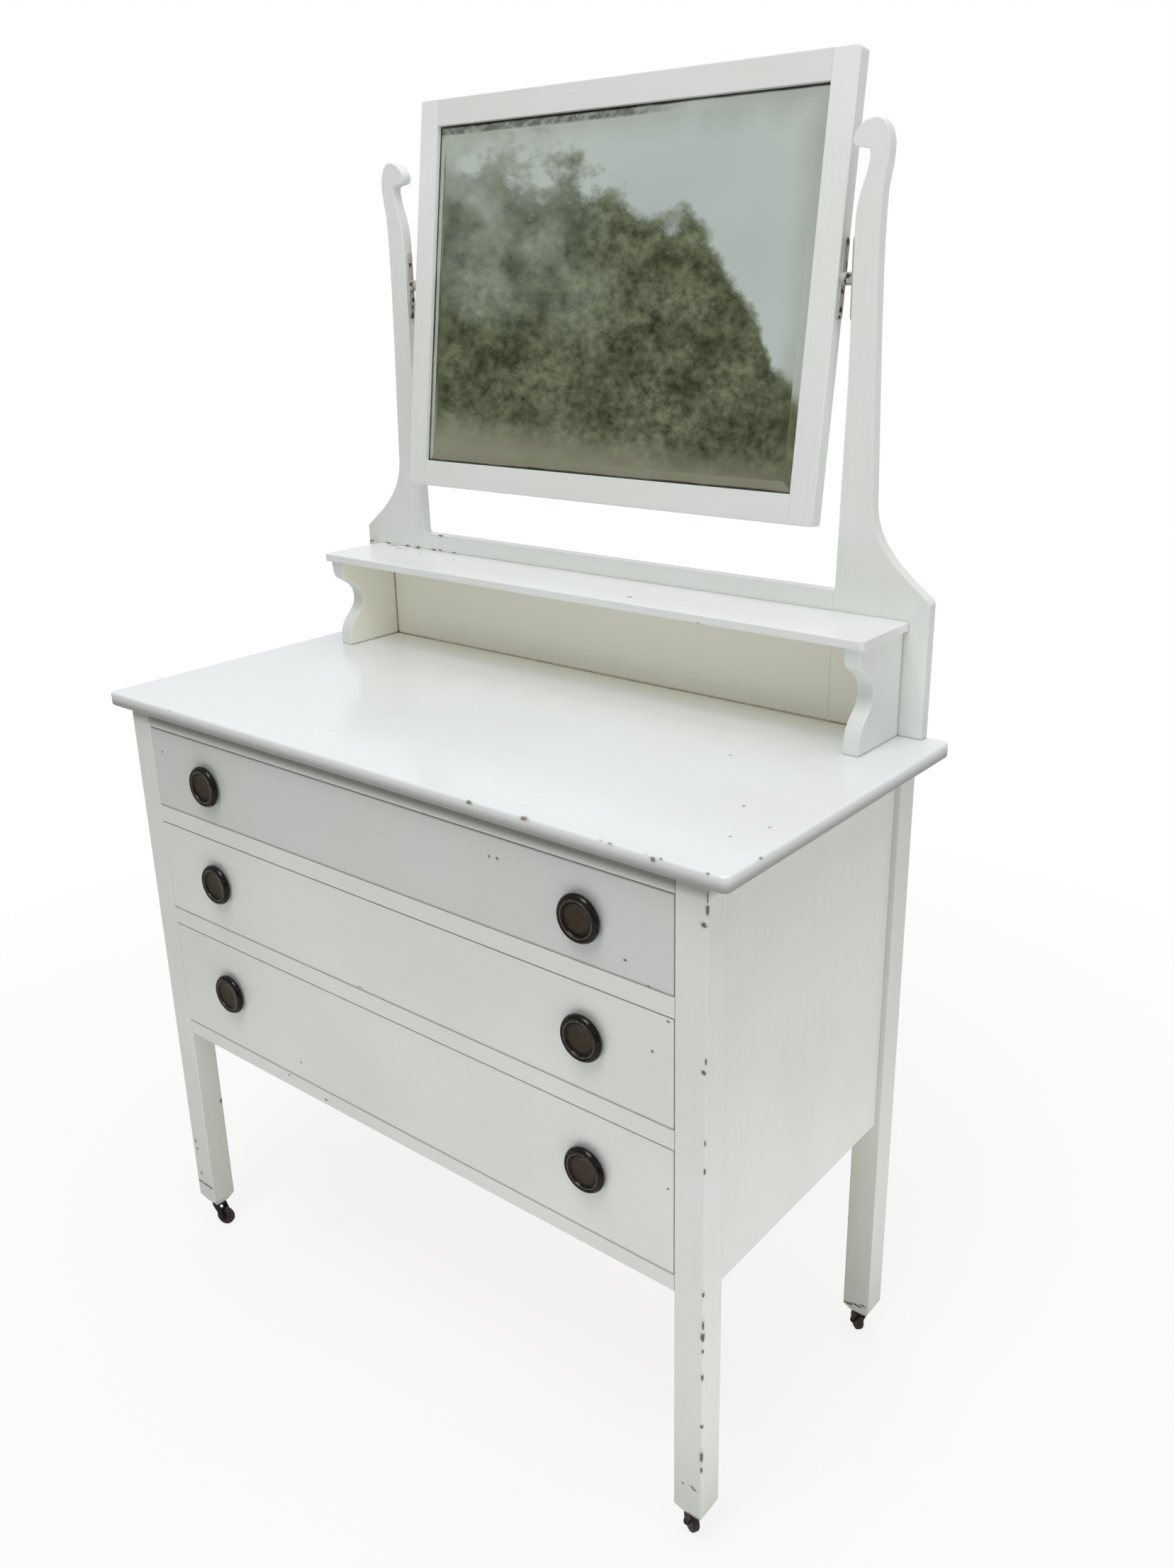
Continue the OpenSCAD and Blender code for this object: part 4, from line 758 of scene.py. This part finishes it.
# Silvered plate glass: a mirror behind 5 mm of faintly green glass, with a slight roll in the
# surface. The silvering has bloomed hazy in patches, and has gone black in a line under the
# lip of the frame, where damp got in; the line also stands in as painted shade from the lip.
# The line is 2 mm wide and the haze spreads over 30 mm.
def silvered(name, middle, half):
    made, tree, shader, place = new_finish(name)
    off = vectors(tree, "SUBTRACT", place, [m / 1000 for m in middle])
    off = add(tree, "VectorRotate", {"Vector": off, "Angle": lean},
              rotation_type="X_AXIS").outputs[0]
    half_width, half_height = (h / 1000 for h in half)
    clouds = noise(tree, off, 0.060, 5.0)
    sides = vectors(tree, "SUBTRACT", vectors(tree, "ABSOLUTE", off),
                    (half_width, 1.0, half_height))
    axes = add(tree, "SeparateXYZ", {0: sides}).outputs
    edge = maths(tree, "MAXIMUM", axes["X"], axes["Z"])
    line = ramp(tree, maths(tree, "MULTIPLY_ADD", clouds, 0.004, edge),
                -0.0012, 0.0006, 0.0, 0.92)
    patch = ramp(tree, maths(tree, "MULTIPLY_ADD", clouds, 0.05, edge), -0.012, 0.022, 0.0, 0.5)
    silver = mix(tree, patch, "#E2E7E1", "#B9BCAF")
    # Along the top edge, left of the middle, the bevel's silvering has gone brown, with a painted
    # dark reflection there too.
    axes = add(tree, "SeparateXYZ", {0: off}).outputs
    damp_and_dark_reflection = ramp(tree, axes["Z"], half_height - 0.012, half_height - 0.009, 0.0, 0.8)
    damp_and_dark_reflection = maths(tree, "MULTIPLY", damp_and_dark_reflection, ramp(tree, axes["X"], 0.10, 0.02))
    specks = ramp(tree, noise(tree, off, 0.008, 4.0), 0.35, 0.6, 0.35)
    silver = mix(tree, maths(tree, "MULTIPLY", damp_and_dark_reflection, specks), silver, "#5D5D50")
    silver = mix(tree, line, silver, "#1E1D19")
    feed(tree, shader, {"Base Color": silver, "Metallic": 1.0,
                        "Roughness": ramp(tree, patch, 0.0, 1.0, 0.012, 0.07),
                        "Normal": relief(tree, noise(tree, off, 0.150, 0.0), 0.03, 0.002)})
    return made


glass_drop = 16                      # the glass's middle lies this far below the pivots
glass_middle = (0, pivot[1] - glass_drop * math.sin(lean), pivot[2] - glass_drop * math.cos(lean))
finish(nodes["mirror_glass"], silvered("silvered_plate_glass", glass_middle, (275.5, 202)))
finish(nodes["mirror_backing"], pine_across)

# ---- Castors ----------------------------------------------------------------------------------
# Cast iron plates and forks, blackened and rusted, with small turned hardwood wheels that
# have gone nearly black with floor dirt.


# Cast iron, blackened long ago, with brown rust in the hollows, in patches 4 mm wide.
def iron(name):
    made, tree, shader, place = new_finish(name)
    rust = noise(tree, place, 0.004, 4.0)
    amount = ramp(tree, rust, 0.45, 0.7)
    feed(tree, shader, {
        "Base Color": mix(tree, amount, "#0F0D0B", "#2C1C15"), "Metallic": 0.5,
        "Roughness": ramp(tree, amount, 0.0, 1.0, 0.45, 0.85),
        "Normal": relief(tree, rust, 0.4, 0.0004)})
    return made


# Dark hardwood, grimed all over in patches 5 mm wide, from brown to nearly black.
def dirty_wheel(name):
    made, tree, shader, place = new_finish(name)
    darkening = noise(tree, place, 0.005, 3.0)
    feed(tree, shader, {"Base Color": mix(tree, darkening, "#0D0A08", "#291915"), "Roughness": 0.45,
                        "Normal": relief(tree, darkening, 0.3, 0.0004)})
    return made


# One turned wheel, laid on its axle.
wheel_tree, given, result = new_tree("turned_wheel", [
    ("Middle", "Vector"), ("Turn", "Rotation"), ("Finish", "Material")])
placed = add(wheel_tree, "GeometryNodeTransform", {
    0: turned(wheel_tree, given), "Translation": given["Middle"],
    "Rotation": given["Turn"]}).outputs[0]
coat(wheel_tree, placed, given, result)

wheel_radius, half_width, bore = 12.5, 5.5, 1.75
half_wheel = drawn(
    [(bore, half_width), (3.7, half_width), (4.3, half_width - 0.6),
     (wheel_radius * 0.72, half_width - 1)],
    ((10, half_width - 1.1), (10.4, half_width - 1.0), (wheel_radius - 1.5, half_width - 1.2), 4),
    ((wheel_radius - 0.5, half_width - 1.6), (wheel_radius, half_width - 2.6),
     (wheel_radius, half_width - 4), 8))
wheel_outline = [(r, -z) for r, z in half_wheel] + half_wheel[::-1] + [(bore, -half_width)]
black_iron, dark_wheel = iron("blackened_cast_iron"), dirty_wheel("dirty_turned_wheel")
finish(nodes["castor_plates"], black_iron)
for corner in ("fl", "fr", "bl", "br"):
    finish(nodes["castor_fork_" + corner], black_iron)
    axle = joints[f"wheel_{corner}_roll"]
    heading = math.atan2(-axle["axis"][0], axle["axis"][1])
    wheel = grown("turned_wheel_" + corner, wheel_outline, wheel_tree, {
        "Sides": 64, "Middle": axle["pos_m"], "Turn": (-math.pi / 2, 0.0, heading),
        "Finish": dark_wheel})
    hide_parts("castor_wheel_" + corner)
    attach(wheel, "wheel_" + corner)

# ---- Floor, light and camera --------------------------------------------------------------------
# A plain white floor that keeps a faint shadow, soft lamps overhead, in front and at the right,
# and two low ones for the light off a bright floor. A mottled card that only gloss and the
# mirror see hangs in front, as a studio hangs one to give glass something to show. The card
# glows, though it is no lamp.
reach = 30.0
floor_mesh = bpy.data.meshes.new("floor")
floor_mesh.from_pydata([(-reach, -reach, 0), (reach, -reach, 0), (reach, reach, 0),
                        (-reach, reach, 0)], [], [(0, 1, 2, 3)])
new_object("floor", floor_mesh)
made, tree, shader, place = new_finish("white_floor")
feed(tree, shader, {"Base Color": colour("#F8F8F6"), "Roughness": 0.9})
seen = add(tree, "LightPath").outputs["Is Camera Ray"]
white = add(tree, "Emission", {"Color": (1, 1, 1, 1), "Strength": 1.0}).outputs[0]
# The camera sees mostly plain white, and all of it beyond 1.7 m from the middle.
share = ramp(tree, vectors(tree, "LENGTH", place), 0.5, 1.7, 0.84, 1.0)
share = maths(tree, "MULTIPLY", seen, share)
mixed = add(tree, "MixShader", {0: share, 1: shader.outputs[0], 2: white}).outputs[0]
tree.links.new(mixed, tree.nodes["Material Output"].inputs["Surface"])
floor_mesh.materials.append(made)

card_mesh = bpy.data.meshes.new("card")
shape = bmesh.new()
bmesh.ops.create_uvsphere(shape, u_segments=64, v_segments=32, radius=6.0)
shape.to_mesh(card_mesh)
shape.free()
card = new_object("card", card_mesh)
for ray in ("camera", "diffuse", "transmission", "volume_scatter", "shadow"):
    setattr(card, "visible_" + ray, False)
# The card is a glowing dome, though no lamp, dark and mottled below a ragged crest, pale above
# it and behind the piece, glowing brightest overhead, and hazed over at its left. Its heights
# and widths are in metres.
made, tree, _, place = new_finish("mottled_card")
coarse = noise(tree, place, 1 / 1.3, 2.0)
clump = noise(tree, place, 1 / 4.5, 3.0)
fine = noise(tree, place, 1 / 16, 6.0, Roughness=0.75)
axes = add(tree, "SeparateXYZ", {0: place}).outputs
crest = ramp(tree, axes["X"], -3.2, -2.75, 2.2, 1.35, interpolation_type="SMOOTHSTEP")
fall = ramp(tree, axes["X"], -3.55, -4.2, 0.0, 0.1, interpolation_type="SMOOTHSTEP")
crest = maths(tree, "SUBTRACT", crest, fall)
for patches, share in ((coarse, 0.7), (clump, 0.45), (fine, 0.3)):
    crest = maths(tree, "MULTIPLY_ADD", patches, share, crest)
over = ramp(tree, maths(tree, "SUBTRACT", axes["Z"], crest), -0.05, 0.05)
mottle = ramp(tree, fine, 0.34, 0.66)
below = mix(tree, ramp(tree, clump, 0.3, 0.7), mix(tree, mottle, "#272C1F", "#5E6349"),
            mix(tree, mottle, "#444A35", "#8F937B"))
below = mix(tree, ramp(tree, axes["Z"], 1.55, 1.75, 1.0, 0.0), below, "#9A9688")
tone = mix(tree, over, below, mix(tree, coarse, "#B9C1C2", "#D3D6D3"))
haze = maths(tree, "MULTIPLY", ramp(tree, axes["X"], -3.5, -4.0), ramp(tree, axes["Z"], 2.1, 3.0))
haze = maths(tree, "MULTIPLY", haze, ramp(tree, clump, 0.35, 0.6, 0.3, 0.95))
tone = mix(tree, haze, tone, "#BEC3BD")
tone = mix(tree, ramp(tree, axes["Y"], -1.5, 1.0), tone, "#F2F5F8")
zenith = ramp(tree, axes["Z"], 5.35, 5.8, 1.0, 4.0)
glow = add(tree, "Emission", {"Color": tone, "Strength": zenith}).outputs[0]
tree.links.new(glow, tree.nodes["Material Output"].inputs["Surface"])
card_mesh.materials.append(made)

# White for the camera, gloss and transmission, and a tenth of that as fill on the piece.
world = bpy.data.worlds.new("studio")
bpy.context.scene.world = world
world.use_nodes = True
tree = world.node_tree
ray = add(tree, "LightPath").outputs
plain = maths(tree, "MAXIMUM", ray["Is Camera Ray"], ray["Is Glossy Ray"])
plain = maths(tree, "MAXIMUM", plain, ray["Is Transmission Ray"])
feed(tree, tree.nodes["Background"], {"Color": (1, 1, 1, 1),
                                      "Strength": ramp(tree, plain, 0.0, 1.0, 0.1)})

# Square lamps: the side in metres, the power in watts, the place and what each one faces.
for name, side, power, at, aim in (
        ("overhead", 4.5, 92, (0.2, 0.5, 4.3), (0.2, 0.5, 0)),
        ("over_the_front", 1.3, 40, (0.3, -1.6, 3.6), (0.1, 0, 0.6)),
        ("front", 3.5, 20, (0.6, -4.0, 2.2), (0, 0, 0.9)),
        ("right", 3.0, 38, (4.2, -0.6, 1.8), (0, 0, 0.7)),
        ("low_front", 1.0, 2.6, (0.1, -0.95, 0.02), (0.1, -0.95, 1)),
        ("low_right", 0.9, 3.0, (1.0, 0.0, 0.02), (1.0, 0.0, 1))):
    lamp_data = bpy.data.lights.new(name, "AREA")
    lamp_data.size, lamp_data.energy = side, power
    lamp = new_object(name, lamp_data)
    lamp.location = at
    lamp.rotation_euler = (Vector(aim) - Vector(at)).to_track_quat("-Z", "Y").to_euler()
    lamp.visible_camera = False
    lamp.visible_glossy = name == "over_the_front"     # the one that shows as a glint

# The camera as solved from the photograph: its place in metres, its angles in degrees, and its
# focal length and the middle of its picture in the photograph's pixels.
camera_place, camera_turn = (1.001357, -1.062289, 1.250177), (38.357, 19.345, -0.766)
photo_width, photo_height, focal_length, middle_x, middle_y = 1656, 2212, 1854, 871.6, 1057.0
camera_data = bpy.data.cameras.new("photo_view")
camera = new_object("photo_view", camera_data)
bpy.context.scene.camera = camera
azimuth, elevation, roll = (math.radians(a) for a in camera_turn)
look = Vector((-math.sin(azimuth) * math.cos(elevation),
               math.cos(azimuth) * math.cos(elevation), -math.sin(elevation)))
right = Vector((math.cos(azimuth), math.sin(azimuth), 0))
rise = right.cross(look)
tilted = (right * math.cos(roll) + rise * math.sin(roll),
          rise * math.cos(roll) - right * math.sin(roll), -look)
camera.matrix_world = Matrix.Translation(camera_place) @ Matrix(tilted).transposed().to_4x4()
camera_data.sensor_fit = "VERTICAL"
camera_data.sensor_height = 36
camera_data.lens = camera_data.sensor_height * focal_length / photo_height
camera_data.shift_x = (photo_width / 2 - middle_x) / photo_height
camera_data.shift_y = (middle_y - photo_height / 2) / photo_height
camera_data.clip_end = 100
bpy.context.scene.view_settings.view_transform = "Standard"
